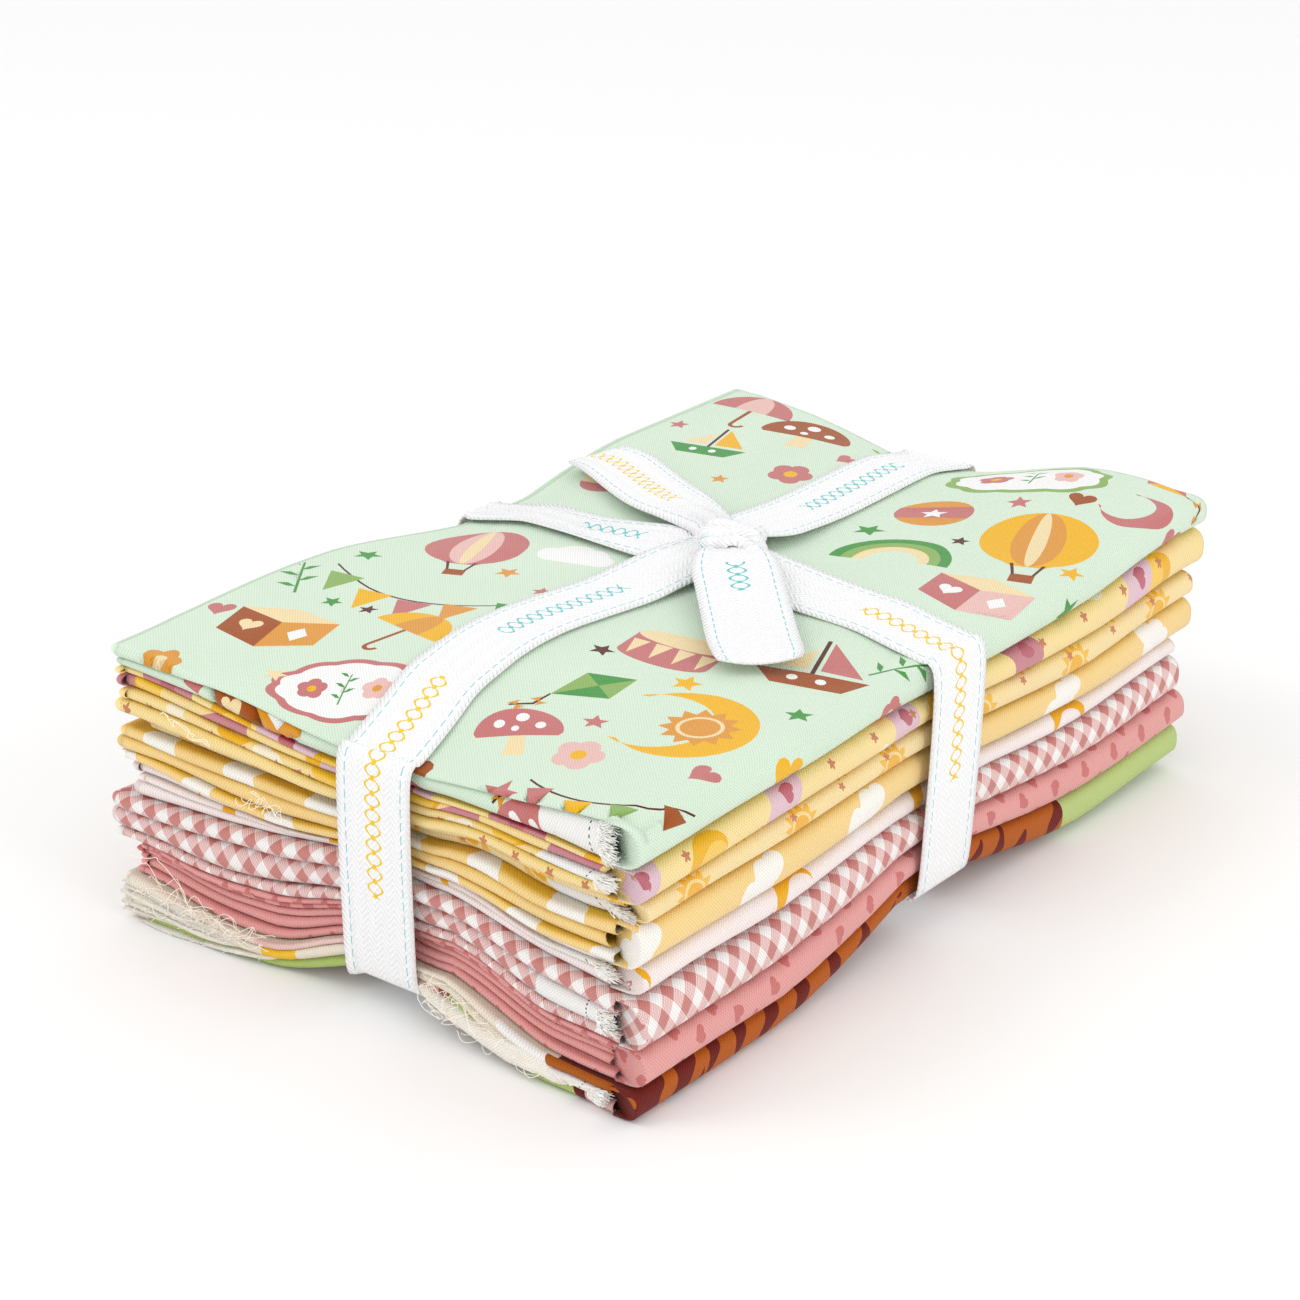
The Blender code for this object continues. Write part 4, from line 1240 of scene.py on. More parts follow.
class Net:
    """A material in the making."""

    def __init__(self, name):
        self.material = bpy.data.materials.new(name)
        self.material.use_nodes = True
        tree = self.material.node_tree
        self.nodes, self.links = tree.nodes, tree.links
        self.shader = self.nodes["Principled BSDF"]
        flat = self.node("UVMap", uv_map="flat")
        parts = self.node("SeparateXYZ")
        self.links.new(flat.outputs[0], parts.inputs[0])
        self.flat = flat.outputs[0]
        self.u = Num(self, parts.outputs[0])
        self.v = Num(self, parts.outputs[1])

    def node(self, kind, **settings):
        made = self.nodes.new("ShaderNode" + kind)
        for key, value in settings.items():
            setattr(made, key, value)
        return made

    def feed(self, socket, value):
        if isinstance(value, Num):
            value = value.socket
        if isinstance(value, bpy.types.NodeSocket):
            self.links.new(value, socket)
        elif isinstance(value, tuple):
            socket.default_value = (*value, 1.0) if len(value) == 3 else value
        else:
            socket.default_value = value

    def math(self, operation, *values):
        made = self.node("Math", operation=operation)
        for socket, value in zip(made.inputs, values):
            self.feed(socket, value)
        return Num(self, made.outputs[0])

    def mix(self, factor, first, second):
        made = self.node("Mix", data_type="RGBA")
        self.feed(made.inputs[0], factor)
        self.feed(made.inputs[6], first)
        self.feed(made.inputs[7], second)
        return made.outputs[2]

    def attribute(self, name, output="Fac"):
        return self.node("Attribute", attribute_name=name).outputs[output]

    def noise(self, scale, detail=2.0, seed=0.0):
        made = self.node("TexNoise", noise_dimensions="4D")
        self.links.new(self.flat, made.inputs["Vector"])
        made.inputs["W"].default_value = seed
        made.inputs["Scale"].default_value = scale
        made.inputs["Detail"].default_value = detail
        return Num(self, made.outputs[0])

    def random(self, a, b):
        joined = self.node("CombineXYZ")
        self.feed(joined.inputs[0], a)
        self.feed(joined.inputs[1], b)
        made = self.node("TexWhiteNoise", noise_dimensions="3D")
        self.links.new(joined.outputs[0], made.inputs["Vector"])
        return Num(self, made.outputs["Value"])

    def length(self, x, y):
        return self.math("SQRT", x * x + y * y)

    def cell(self, width, height, shift=0.0, turn=0.0):
        """Place inside a cell of a staggered repeat, in metres from its middle, and a number for the cell."""
        v = (self.v + shift) / height
        row = v.floor()
        u = (self.u + shift * 0.7) / width + (row * 0.5).fract()
        column = u.floor()
        number = self.random(column, row)
        x, y = (u.fract() - 0.5) * width, (v.fract() - 0.5) * height
        if turn:
            angle = (number - 0.5) * turn
            cos, sin = angle.cos(), angle.sin()
            x, y = x * cos - y * sin, x * sin + y * cos
        return x, y, number

    def star(self, x, y, size, points=5, inner=0.45):
        angle = self.math("ARCTAN2", y, x) * (points / (2 * math.pi))
        wave = ((angle + 8.0).fract() - 0.5).abs() * 2.0
        return self.length(x, y) < (wave * (1 - inner) + inner) * size

    def heart(self, x, y, size):
        x, y = x / size, y / size
        return self.length(x, y * 1.15 - self.math("SQRT", x.abs()) * 0.72 + 0.15) < 1.0

    def disc(self, x, y, size):
        return self.length(x, y) < size

    def crescent(self, x, y, size):
        return self.disc(x, y, size) * (self.length(x - size * 0.42, y) > size * 0.82)

    def cloud(self, x, y, size):
        lobes = ((-0.55, -0.02, 0.30), (-0.10, 0.16, 0.44), (0.36, 0.05, 0.34), (0.0, -0.12, 0.30))
        return self.any(*(self.disc(x - a * size, y - b * size, r * size) for a, b, r in lobes))

    def any(self, first, *others):
        for other in others:
            first = first.most(other)
        return first


WEAVE_PITCH = 0.00052
THREAD_PITCH = 0.0003


def weave(net, pitch=WEAVE_PITCH):
    """Height of a plain weave, 0 to 1."""
    wave = math.pi / pitch
    return (net.u * wave).sin() * (net.v * wave).sin() * 0.5 + 0.5


def finish(net, colour, height, depth=0.00013, shade=0.24, rough=0.88, sheen=0.20, drift=0.07, painted_shade=0.45):
    """Ends a cloth's material: threads in its colour, bump, uneven dye, painted shade in weave and hollows."""
    # Painted shade in the weave: shade darkens the colour where the threads' height is low
    level = height * shade + (net.noise(38.0, 3.0, 2.0) - 0.5) * drift + (1.0 - shade)
    dye_and_shade = net.node("HueSaturation")
    level = level + (net.noise(900.0, 1.0, 5.0) - 0.5) * 0.06
    # Painted shade: where the hollow mark is deep the colour is darker and more saturated, as shade and bounced light
    if painted_shade:
        deep = Num(net, net.attribute("hollow"))
        net.feed(dye_and_shade.inputs["Saturation"], deep * painted_shade + 1.0)
        level = level * (1.0 - deep * 0.22)
    net.feed(dye_and_shade.inputs["Value"], level)
    net.feed(dye_and_shade.inputs["Color"], colour)
    net.links.new(dye_and_shade.outputs[0], net.shader.inputs["Base Color"])
    bump = net.node("Bump")
    bump.inputs["Strength"].default_value = 1.0
    bump.inputs["Distance"].default_value = depth
    net.feed(bump.inputs["Height"], height + net.noise(260.0, 3.0, 9.0) * 1.4)
    net.links.new(bump.outputs[0], net.shader.inputs["Normal"])
    net.feed(net.shader.inputs["Roughness"], net.noise(120.0, 2.0, 3.0) * 0.12 + (rough - 0.06))
    net.shader.inputs["Sheen Weight"].default_value = sheen
    net.shader.inputs["Sheen Roughness"].default_value = 0.5
    net.shader.inputs["Specular IOR Level"].default_value = 0.25
    return net.material


def selvage(net, colour):
    """White woven edge with a line of small dots, over a cloth's own colour."""
    edge = Num(net, net.attribute("selvage"))
    colour = net.mix(edge < SELVAGE_WIDTH, colour, srgb(250, 249, 246))
    dots = ((edge - DOTS_FROM_EDGE).abs() < 0.00022) * ((net.v * 900.0).fract() > 0.5)
    return net.mix(dots, colour, srgb(70, 64, 66))


def mint_material():
    net = Net("mint_print")
    colour = selvage(net, net.attribute("paint", "Color"))
    return finish(net, colour, weave(net))


def toy_material():
    net = Net("toy_print")
    colour = srgb(253, 226, 160)
    x, y, number = net.cell(0.034, 0.029, 0.004, 5.0)
    colour = net.mix(net.disc(x, y, 0.0078) * (number > 0.35), colour, srgb(252, 208, 100))
    colour = net.mix(net.crescent(x, y, 0.0078) * (number > 0.35), colour, srgb(245, 186, 50))
    x, y, number = net.cell(0.043, 0.031, 0.019, 1.0)
    patch = (x.abs() < 0.0092) * (y.abs() < 0.0068)
    colour = net.mix(patch, colour, net.mix(number > 0.45, srgb(208, 140, 148), srgb(232, 198, 208)))
    colour = net.mix(net.heart(x, y, 0.0028) * patch, colour, srgb(196, 112, 124))
    x, y, number = net.cell(0.036, 0.040, 0.031, 4.0)
    colour = net.mix(net.cloud(x, y, 0.0105) * (number > 0.4), colour, srgb(255, 244, 218))
    x, y, number = net.cell(0.012, 0.011, 0.002, 6.0)
    colour = net.mix(net.star(x, y, 0.0017) * (number > 0.4), colour, srgb(206, 136, 96))
    return finish(net, selvage(net, colour), weave(net))


def sun_material():
    net = Net("sun_print")
    colour = srgb(253, 228, 170)
    x, y, _ = net.cell(0.026, 0.024, 0.007, 5.0)
    colour = net.mix(net.star(x, y, 0.0078, 12, 0.66), colour, srgb(250, 196, 88))
    colour = net.mix(net.disc(x, y, 0.0046), colour, srgb(253, 226, 160))
    colour = net.mix(net.disc(x, y, 0.0036), colour, srgb(248, 188, 70))
    x, y, number = net.cell(0.013, 0.012, 0.0035, 6.0)
    colour = net.mix(net.star(x, y, 0.0015) * (number > 0.5), colour, srgb(214, 140, 110))
    return finish(net, selvage(net, colour), weave(net))


def cloud_material():
    net = Net("cloud_print")
    colour = srgb(252, 218, 148)
    x, y, _ = net.cell(0.030, 0.026, 0.011, 1.2)
    colour = net.mix(net.cloud(y, x, 0.0125), colour, srgb(254, 251, 244))
    return finish(net, selvage(net, colour), weave(net))


def moon_material():
    net = Net("moon_print")
    colour = srgb(252, 240, 237)
    x, y, _ = net.cell(0.040, 0.036, 0.006, 5.0)
    colour = net.mix(net.crescent(x, y, 0.0084), colour, srgb(244, 178, 20))
    x, y, _ = net.cell(0.029, 0.031, 0.021, 4.0)
    ring = net.star(x, y, 0.0046) * (1.0 - net.star(x, y, 0.0035))
    colour = net.mix(ring, colour, srgb(212, 142, 142))
    return finish(net, selvage(net, colour), weave(net))


GINGHAM_CHECK = 0.0034


def gingham_material():
    net = Net("gingham")
    pitch = 2 * GINGHAM_CHECK * math.sqrt(2)
    first = ((net.u + net.v) / pitch).fract() > 0.5
    second = ((net.u - net.v) / pitch).fract() > 0.5
    fine = ((net.u + net.v) * 1400.0).fract() > 0.5
    half = first * (1.0 - second) + second * (1.0 - first)
    colour = net.mix(half, srgb(252, 248, 246), net.mix(fine, srgb(246, 220, 216), srgb(228, 178, 174)))
    colour = net.mix(first * second, colour, srgb(208, 136, 130))
    return finish(net, selvage(net, colour), weave(net), painted_shade=0.2)


def heart_material():
    net = Net("heart_print")
    colour = srgb(236, 166, 162)
    x, y, number = net.cell(0.0090, 0.0082, 0.003, 2.4)
    colour = net.mix(net.heart(x, y, 0.0021) * (number > 0.15), colour, srgb(212, 122, 118))
    return finish(net, selvage(net, colour), weave(net), painted_shade=0.2)


# The colours along the bottom cloth's three near folds: where each starts, in mm
PANEL_FACE = (
    ((-100, srgb(240, 230, 212)), (-88, srgb(186, 208, 118)), (-8, srgb(130, 44, 26)), (14, srgb(232, 188, 180)),
     (27, srgb(160, 82, 30)), (31, srgb(186, 208, 118)), (73, srgb(112, 26, 22)), (77, srgb(232, 190, 184))),
    ((-100, srgb(243, 232, 214)), (-42, srgb(250, 202, 64)), (-28, srgb(243, 232, 214))),
    ((-100, srgb(243, 232, 214)), (-44, srgb(240, 206, 198)), (12, srgb(243, 232, 214)),
     (50, srgb(252, 250, 246)), (66, srgb(176, 94, 26))),
    ((-100, srgb(252, 246, 235)),),
)


def panel_material():
    net = Net("panel_print")
    place = net.node("TexCoord").outputs["Object"]
    parts = net.node("SeparateXYZ")
    net.links.new(place, parts.inputs[0])
    x, y = Num(net, parts.outputs[0]), Num(net, parts.outputs[1])
    z = Num(net, parts.outputs[2])
    wobble = net.noise(26.0, 3.0, 1.0)
    wave = (y * 430.0 - z * 260.0 + wobble * 11.0).sin()
    width = (z * 420.0 + wobble * 9.0).sin() * 0.35 + net.noise(70.0, 1.0, 4.0) * 1.3 - 1.25 + (y < -0.118) * 1.1
    tiger = net.mix(wave > width, srgb(112, 28, 18), srgb(188, 96, 26))
    cream, lime = srgb(243, 232, 214), srgb(194, 214, 136)
    colour = net.mix(y > 0.066, tiger, lime)
    near = (x < -0.070).most((y < -0.125) * (x < 0.066))
    colour = net.mix(near, colour, cream)
    code = Num(net, net.attribute("paint")) * 3.0
    for number, stretches in enumerate(PANEL_FACE):
        face = stretches[0][1]
        for start, paint in stretches[1:]:
            face = net.mix(x + z * 0.4 > start / 1000, face, paint)
        here = ((code - PANEL_CODE * (number + 1)).abs() < PANEL_CODE / 2) * (x < 0.086)
        colour = net.mix(here, colour, face)
    return finish(net, selvage(net, colour), weave(net), sheen=0.08, painted_shade=0.2)


def ribbon_material():
    net = Net("ribbon")
    middle = net.u - RIBBON_WIDTH / 2
    slant = ((net.u / HERRINGBONE).fract() - 0.5).abs() * HERRINGBONE
    twill = ((net.v + slant * 1.2) * (2 * math.pi / TWILL)).sin() * 0.5 + 0.5
    line = ((middle.abs() - DASHES_OUT).abs() < DASH_HALF) * ((net.v / DASH_PITCH).fract() < 0.66)
    colour = net.mix(line, srgb(253, 253, 254), srgb(146, 212, 220))
    turn = net.v * (2 * math.pi / MARK_PITCH)
    waves = [(middle - turn.sin() * sign * 0.0026).abs() < 0.00042 for sign in (-1, 1)]
    x = ((net.v / MARK_PITCH * 2.0 + 0.5).fract() - 0.5) * (MARK_PITCH / 2)
    seed = net.length(x, middle) < 0.00085
    tone = Num(net, net.attribute("selvage"))
    mark = net.any(*waves, seed) * (tone > 0.5)
    teal = Num(net, net.attribute("hollow")) > 0.5
    colour = net.mix(mark, colour, net.mix(teal, srgb(250, 208, 40), srgb(104, 206, 208)))
    # The twill's troughs get painted shade from finish's shade of 0.09
    return finish(net, colour, twill, 0.00026, 0.09, 0.80, 0.20, 0.01, 0.0)


def thread_material(name, colour):
    net = Net(name)
    return finish(net, srgb(*colour), weave(net, THREAD_PITCH), shade=0.03, drift=0.02)


def gathered(x, y, reach):
    """How far the tape is drawn together by the knot: 1 at its middle."""
    return 1 - float(smooth(math.hypot(x - KNOT.x, y - KNOT.y) / reach))


def strip_width(x, y, reach=GATHER_REACH):
    return mix(RIBBON_WIDTH, STRIP_AT_KNOT, gathered(x, y, reach))


def crest(x, y):
    away = math.hypot(x - KNOT.x, y - KNOT.y)
    rise = max(0.0, 1 - away / KNOT_RISE_REACH) ** KNOT_RISE_POWER
    return mix(float(boundary(len(CLOTHS), np.float64(x), np.float64(y))) + TOP_CLEAR, KNOT.z, rise)


def ring_point(axis, along, part, on_top):
    if axis == "y":
        middle = (float(tie_x(along, on_top)), along)
    else:
        middle = (along, float(tie_y(along, on_top)))
    width = strip_width(*middle, RING_GATHER) if on_top else RIBBON_WIDTH
    side = (1, 0) if axis == "y" else (0, 1)
    bunched = BUNCH * float(smooth((-0.016 - along) / 0.030)) if axis == "x" and on_top else 0.0
    across = (part * (1 - bunched) - 0.5 * bunched) * width
    x, y = middle[0] + side[0] * across, middle[1] + side[1] * across
    floor = FLOOR_CLEAR + RIBBON_THICKNESS / 2 + (0.0007 if axis == "x" else 0)
    z = crest(x, y) if on_top else max(floor, float(base_height(x, y)) - BASE_CLEAR)
    if on_top:
        gather = gathered(*middle, RING_GATHER)
        z += PLEAT * gather * math.cos(part * 4.6 * math.pi) - 0.0016 * abs(part) * gather
        z -= UNDER * gathered(*middle, 2 * RING_GATHER) * (axis == "x")
        z += bunched * 0.0016 * (1 + math.cos(part * 6 * math.pi + along * 60))
    return Vector((x, y, z))


def ring_face(axis, pinch, part):
    reach = end_y if axis == "y" else side_x
    side = pinch.head + part * RIBBON_WIDTH
    out = pinch.sign * (float(reach(pinch.sign, side)) + EDGE_CLEAR)
    bottom = ring_point(axis, out - pinch.sign * EDGE_TURN, part, False)
    top = ring_point(axis, out - pinch.sign * EDGE_TURN, part, True)
    rows = [bottom]
    for rise, turn in FACE_ROWS:
        point = bottom.lerp(top, rise)
        along = out - pinch.sign * EDGE_TURN * turn
        if axis == "y":
            point.y = along
        else:
            point.x = along
        rows.append(point)
    return [*rows, top]


def ring_path(axis, part):
    near, far = (PINCHES[0], PINCHES[2]) if axis == "y" else (PINCHES[3], PINCHES[1])
    lines = RING_LINES_Y if axis == "y" else RING_LINES_X
    crossing = KNOT.y if axis == "y" else KNOT.x
    tops = [line for line in lines if abs(line - crossing) > RING_GATHER + 0.003]
    steps = (-1, -0.75, -0.5, -0.25, 0, 0.25, 0.5, 0.75, 1)
    tops = sorted([*tops, *(crossing + RING_GATHER * step for step in steps)])
    return [
        *(ring_point(axis, along, part, False) for along in lines if along >= 0),
        *ring_face(axis, far, part),
        *(ring_point(axis, along, part, True) for along in reversed(tops)),
        *reversed(ring_face(axis, near, part)),
        *(ring_point(axis, along, part, False) for along in lines if along < 0),
    ]


def rounded(points, closed, steps=4):
    """A smooth line through the points."""
    count = len(points)
    line = []
    for k in range(count if closed else count - 1):
        if closed:
            a, b, c, d = (points[(k + o) % count] for o in (-1, 0, 1, 2))
        else:
            a, b, c, d = (points[min(max(k + o, 0), count - 1)] for o in (-1, 0, 1, 2))
        for step in range(steps):
            t = step / steps
            line.append(0.5 * (2 * b + (c - a) * t + (2 * a - 5 * b + 4 * c - d) * t * t
                               + (3 * b - a - 3 * c + d) * t ** 3))
    return [*line, line[0] if closed else points[-1]]


def strip_grid(paths, closed):
    """Points of a strip of ribbon, rows along it, from the lines of its columns."""
    lines = [rounded(path, closed) for path in paths]
    return np.array([[tuple(line[k]) for line in lines] for k in range(len(lines[0]))])


def add_strip(sheet, points, start, marks=()):
    """A strip of the tape. marks are the stretches that carry a woven mark: from, to, and which colour."""
    across = np.linspace(0, RIBBON_WIDTH, points.shape[1])
    along = run_length(points[:, points.shape[1] // 2])
    shown, teal = np.zeros(len(along)), np.zeros(len(along))
    for low, high, tone in marks:
        shown[(along > low) & (along < high)] = 1
        teal[(along > low - 0.02) & (along < high + 0.02)] = tone == TEAL
    sheet.patch(points, across, (start + along)[:, None], shown[:, None], hollow=teal[:, None])


def tail_grid(route, curl, reach=GATHER_REACH):
    """A free end of the ribbon: narrow and pleated at the knot, arched and a little curled further out."""
    points = [Vector(p) for p in route]
    parts = np.linspace(-0.5, 0.5, RIBBON_COLUMNS)
    paths = [[] for _ in parts]
    for i, point in enumerate(points):
        ahead = points[min(i + 1, len(points) - 1)] - points[max(i - 1, 0)]
        side = Vector((ahead.y, -ahead.x, 0)).normalized()
        gather = gathered(point.x, point.y, reach)
        out = i / (len(points) - 1)
        last = max(0.0, i - len(points) + 3) / 2
        width = strip_width(point.x, point.y, reach) * (1 - 0.10 * last * last)
        for path, part in zip(paths, parts):
            up = TAIL_ARCH * (1 - 4 * part * part) * (1 - out) + PLEAT * gather * math.cos(part * 5 * math.pi)
            up += curl * out * 4 * part * part - 0.004 * gather * 4 * part * part
            path.append(point + side * part * width + ahead.normalized() * 0.0016 * last * (1 - 4 * part * part)
                        + Vector((0, 0, up)))
    return strip_grid(paths, False)


def add_ribbon():
    """The tape as one piece: both strips round the stack, the two free ends and the knot they leave."""
    made = ribbon_material()
    parts = np.linspace(-0.5, 0.5, RIBBON_COLUMNS)
    whole = Sheet()
    grids = {axis: strip_grid([ring_path(axis, part) for part in parts], True) for axis in "yx"}
    grids["long"] = tail_grid(LONG_TAIL, LONG_CURL, LONG_GATHER)
    grids["short"] = tail_grid(SHORT_TAIL, SHORT_CURL)
    for name, grid in grids.items():
        add_strip(whole, grid, STRIP_STARTS[name], MARKS[name])
    add_band(whole)
    add_knot(whole)
    tape = piece("twill_tape", whole.mesh("twill_tape"), made, RIBBON_THICKNESS)
    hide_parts("tie_ribbon")


def add_band(sheet):
    """The tape's turn round the knot, pleated along its length."""
    across = BAND_ACROSS.normalized()
    side = Vector((across.y, -across.x, 0)).normalized()
    up = side.cross(across) * -1
    parts = np.linspace(-0.5, 0.5, 2 * RIBBON_COLUMNS - 1)
    rows = []
    for step in range(BAND_STEPS + 1):
        turn = 2 * math.pi * step / BAND_STEPS
        cos, sin = math.cos(turn), math.sin(turn)
        row = []
        for part in parts:
            swell = 1 - 0.50 * (2 * part) ** 4 + BAND_PLEAT / BAND_HIGH * (
                math.sin(part * 21 + 2.2 * sin + 1) + 0.5 * math.sin(5 * turn + 6 * part))
            place = across * BAND_HALF * swell * math.copysign(abs(cos) ** 0.8, cos)
            place += up * BAND_HIGH * swell * math.copysign(abs(sin) ** 0.8, sin)
            width = BAND_WIDTH * (1 + 0.18 * cos + 0.10 * math.sin(3 * turn + 1))
            row.append(BAND_MIDDLE + place + side * part * width)
        rows.append(row)
    points = np.array([[tuple(p) for p in row] for row in rows])
    add_strip(sheet, points, STRIP_STARTS["band"], MARKS["band"])


def add_knot(sheet):
    """The lump of gathered tape between the strips, ridged along its pleats."""
    rows, columns = 22, 44
    points = np.zeros((rows + 1, columns + 1, 3))
    for i in range(rows + 1):
        polar = math.pi * i / rows
        for j in range(columns + 1):
            turn = 2 * math.pi * (j % columns) / columns
            direction = Vector((math.sin(polar) * math.cos(turn), math.sin(polar) * math.sin(turn),
                                math.cos(polar)))
            ridge = 1 + 0.07 * math.sin(5 * direction.x + 9 * direction.y + 1) * math.sin(polar)
            place = Vector([along * radius for along, radius in zip(direction, KNOT_LUMP)]) * ridge
            points[i, j] = BAND_MIDDLE + place
    sheet.patch(points, np.linspace(0, 0.05, columns + 1), np.linspace(0, 0.02, rows + 1)[:, None])


def strand(points, radius, sheet_points, faces):
    """A thread as a thin three-sided tube."""
    for k, point in enumerate(points):
        ahead = points[min(k + 1, len(points) - 1)] - points[max(k - 1, 0)]
        side = ahead.cross(Vector((0.3, 0.2, 1.0))).normalized()
        up = ahead.cross(side).normalized()
        base = len(sheet_points)
        for corner in range(3):
            angle = 2 * math.pi * corner / 3
            sheet_points.append(point + (side * math.cos(angle) + up * math.sin(angle)) * radius)
        if k:
            for corner in range(3):
                after = (corner + 1) % 3
                faces.append((base - 3 + corner, base - 3 + after, base + after, base + corner))
    first = len(sheet_points) - 3 * len(points)
    faces.append((first, first + 2, first + 1))
    faces.append((len(sheet_points) - 3, len(sheet_points) - 2, len(sheet_points) - 1))


def thread_mesh(name, lines, radius):
    points, faces = [], []
    for line in lines:
        strand(line, radius, points, faces)
    mesh = bpy.data.meshes.new(name)
    mesh.from_pydata([tuple(p) for p in points], [], faces)
    return mesh


def fringe_lines(index, rng):
    """Short threads that stand out of the woven edge of one cloth, inside its near corner."""
    lines = []
    cloth = CLOTHS[index]
    near, _ = fold_pairs(cloth)
    for number in cloth.selvage:
        a, b = near[number]
        low = layer_points(index, a, np.array([1.0]), np.array([0.0]))[0, 0]
        high = layer_points(index, b, np.array([1.0]), np.array([0.0]))[0, 0]
        bulge = abs(float(end_tip(index, a, -1, low[0])) - low[1])
        for _ in range(FRINGE_COUNT):
            angle = rng.uniform(0.04, 0.96) * math.pi
            start = Vector(mix(low, high, (1 - math.cos(angle)) / 2))
            start += Vector((-rng.uniform(0, 0.003), -bulge * math.sin(angle) ** FOLD_POWER - 0.0003, 0))
            reach = rng.uniform(0.0016, 0.0052)
            drift = Vector((0, rng.uniform(-0.0022, 0.0006), rng.uniform(-0.0016, 0.0014)))
            middle = start + Vector((reach * 0.5, -0.0004, 0)) + drift * 0.6
            lines.append([start, middle, start + Vector((reach, 0, 0)) + drift])
    return lines


def wander(rng, start, finish, loose, count):
    """A slack thread between two points."""
    line = []
    phase = [rng.uniform(0, 6.28) for _ in range(6)]
    speed = [rng.uniform(1.0, 3.5) for _ in range(6)]
    for k in range(count + 1):
        t = k / count
        free = math.sin(math.pi * t) ** 0.6
        shift = [sum(math.sin(speed[2 * axis + n] * 6.28 * t + phase[2 * axis + n]) for n in (0, 1))
                 for axis in range(3)]
        line.append(start.lerp(finish, t) + Vector(shift) * loose * free)
    return line


FRINGE_COUNT = 300
FRINGE_RADIUS = 0.00013
FRAYS = 6
THREAD_RADIUS = 0.00012
THREAD_LOWEST = 0.0006
THREAD_COPIES = 2

# Loose threads along the near face: x and height of both ends, and how slack, in mm
Loose = namedtuple("Loose", "x0 z0 x1 z1 slack")
LOOSE_THREADS = [
    Loose(-76, 70, -56, 66, 1.2), Loose(-48, 53, -33, 52, 1.6), Loose(-44, 54, -30, 49, 1.2),
    Loose(-92, 22, -60, 14, 2.0), Loose(-90, 12, -50, 10, 2.4), Loose(-78, 8, -44, 12, 2.2),
    Loose(-84, 15, -58, 8, 2.6), Loose(-70, 12, -40, 7, 2.2), Loose(-88, 5, -62, 10, 1.6),
    Loose(-64, 6, -38, 11, 1.8), Loose(18, 16, 30, 8, 2.4), Loose(18, 10, 36, 14, 2.8),
    Loose(20, 18, 34, 6, 3.0), Loose(24, 12, 48, 8, 2.4), Loose(18, 7, 44, 12, 2.0),
    Loose(40, 9, 64, 5, 1.6), Loose(52, 4, 84, 7, 1.4), Loose(30, 5, 62, 3, 1.2),
]


def add_threads():
    rng = random.Random(7)
    lines = []
    for row in LOOSE_THREADS:
        for _ in range(THREAD_COPIES):
            ends = []
            for x, z in ((row.x0, row.z0), (row.x1, row.z1)):
                x = (x + rng.uniform(-2, 2)) / 1000
                y = -float(end_y(-1, x)) - 0.0022 - rng.random() * 0.0008
                ends.append(Vector((x, y, max(0.0015, (z + rng.uniform(-1.5, 1.5)) / 1000))))
            line = wander(rng, *ends, row.slack / 1000, 26)
            for point in line:
                point.y = min(point.y, ends[0].y + 0.0006)
                point.z = max(point.z, THREAD_LOWEST)
            lines.append(line)
    for number, edge in enumerate(RAW_EDGES):
        places = np.stack(raw_edge(edge, number), -1)
        for _ in range(FRAYS):
            start = Vector(places[rng.randrange(len(places))]) + Vector((rng.uniform(-0.0006, 0.0006), 0, 0))
            reach = Vector((rng.uniform(-0.0018, 0.0018), -rng.uniform(0.0002, 0.0018), rng.uniform(-0.0012, 0.0010)))
            line = [start, start + reach * 0.5 + Vector((0, 0, 0.0002)), start + reach]
            for point in line:
                point.z = max(point.z, RAW_LOWEST)
            lines.append(line)
    mesh = thread_mesh("loose_threads", lines, THREAD_RADIUS)
    piece("loose_threads", mesh, thread_material("thread", (255, 250, 238)))


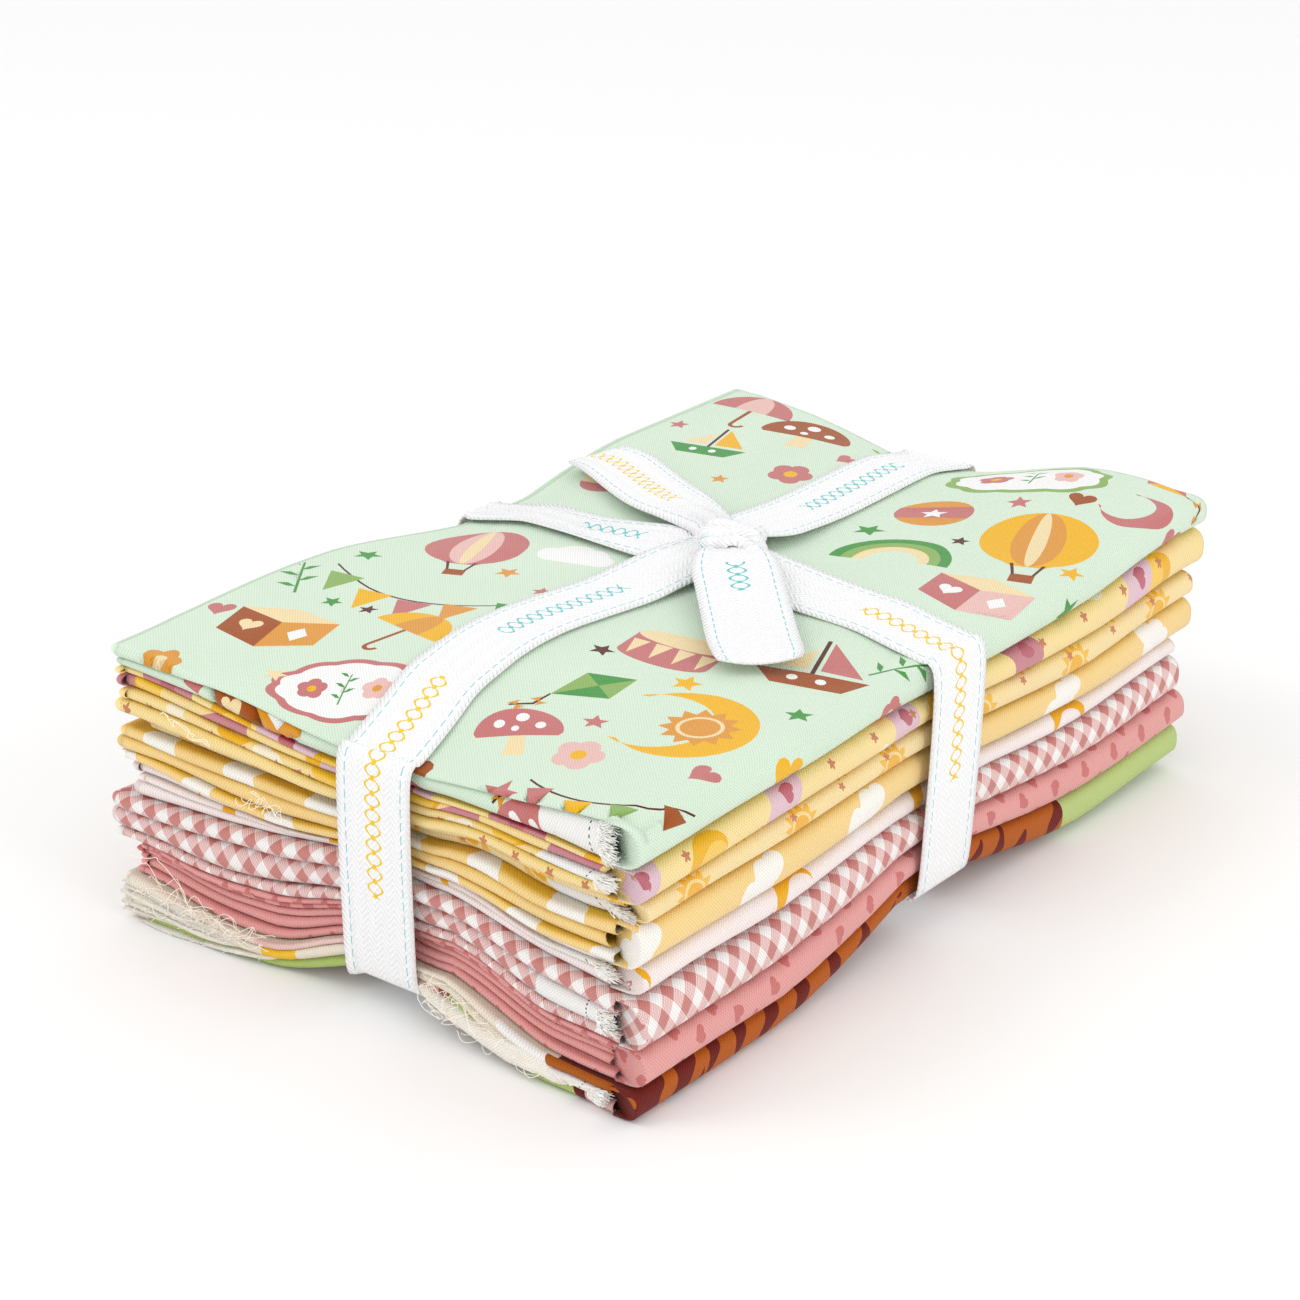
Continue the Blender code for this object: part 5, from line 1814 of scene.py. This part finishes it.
def add_cloths():
    makers = {
        "panel_print": panel_material, "heart_print": heart_material, "gingham": gingham_material,
        "moon_print": moon_material, "cloud_print": cloud_material, "sun_print": sun_material,
        "toy_print": toy_material, "mint_print": mint_material,
    }
    rng = random.Random(3)
    fuzz = thread_material("fuzz", (255, 254, 250))
    for index, cloth in enumerate(CLOTHS):
        fine = index == MINT
        sheet = cloth_sheet(index, COLUMNS_FINE if fine else COLUMNS, ROWS_FINE if fine else ROWS)
        obj = piece(cloth.name, sheet.mesh(cloth.name), makers[cloth.slot](), SHEET)
        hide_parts("cloth_" + cloth.slot)
        fringe = []
        if cloth.selvage:
            name = cloth.name.replace("cloth", "fringe")
            fringe = [piece(name, thread_mesh(name, fringe_lines(index, rng), FRINGE_RADIUS), fuzz)]


FLOOR_SIZE = 6.0
FLOOR_DROP = 0.0002
LIGHT_AIM = Vector((0, 0, 0.04))
Light = namedtuple("Light", "name place power size")
LIGHTS = [Light("key", (-0.7, -0.9, 1.3), 3.4, 0.6), Light("side", (1.5, -0.2, 0.9), 4.4, 0.7)]


def add_floor():
    mesh = bpy.data.meshes.new("floor")
    size = FLOOR_SIZE
    mesh.from_pydata([(-size, -size, 0), (size, -size, 0), (size, size, 0), (-size, size, 0)], [], [(0, 1, 2, 3)])
    floor = bpy.data.objects.new("floor", mesh)
    floor.location.z = -FLOOR_DROP
    bpy.context.scene.collection.objects.link(floor)
    made = bpy.data.materials.new("floor")
    made.use_nodes = True
    shader = made.node_tree.nodes["Principled BSDF"]
    shader.inputs["Base Color"].default_value = (0.93, 0.93, 0.93, 1)
    shader.inputs["Roughness"].default_value = 0.9
    mesh.materials.append(made)


def add_lights():
    world = bpy.data.worlds.new("world")
    world.use_nodes = True
    world.node_tree.nodes["Background"].inputs[0].default_value = (1, 1, 1, 1)
    world.node_tree.nodes["Background"].inputs[1].default_value = 1.0
    bpy.context.scene.world = world
    for name, place, power, size in LIGHTS:
        data = bpy.data.lights.new(name, "AREA")
        data.energy = power
        data.size = size
        light = bpy.data.objects.new(name, data)
        light.location = place
        light.rotation_euler = (LIGHT_AIM - Vector(place)).to_track_quat("-Z", "Y").to_euler()
        bpy.context.scene.collection.objects.link(light)
    bpy.context.scene.view_settings.view_transform = "Standard"


add_camera()
add_cloths()
add_ribbon()
add_threads()
add_floor()
add_lights()
bpy.context.view_layer.update()
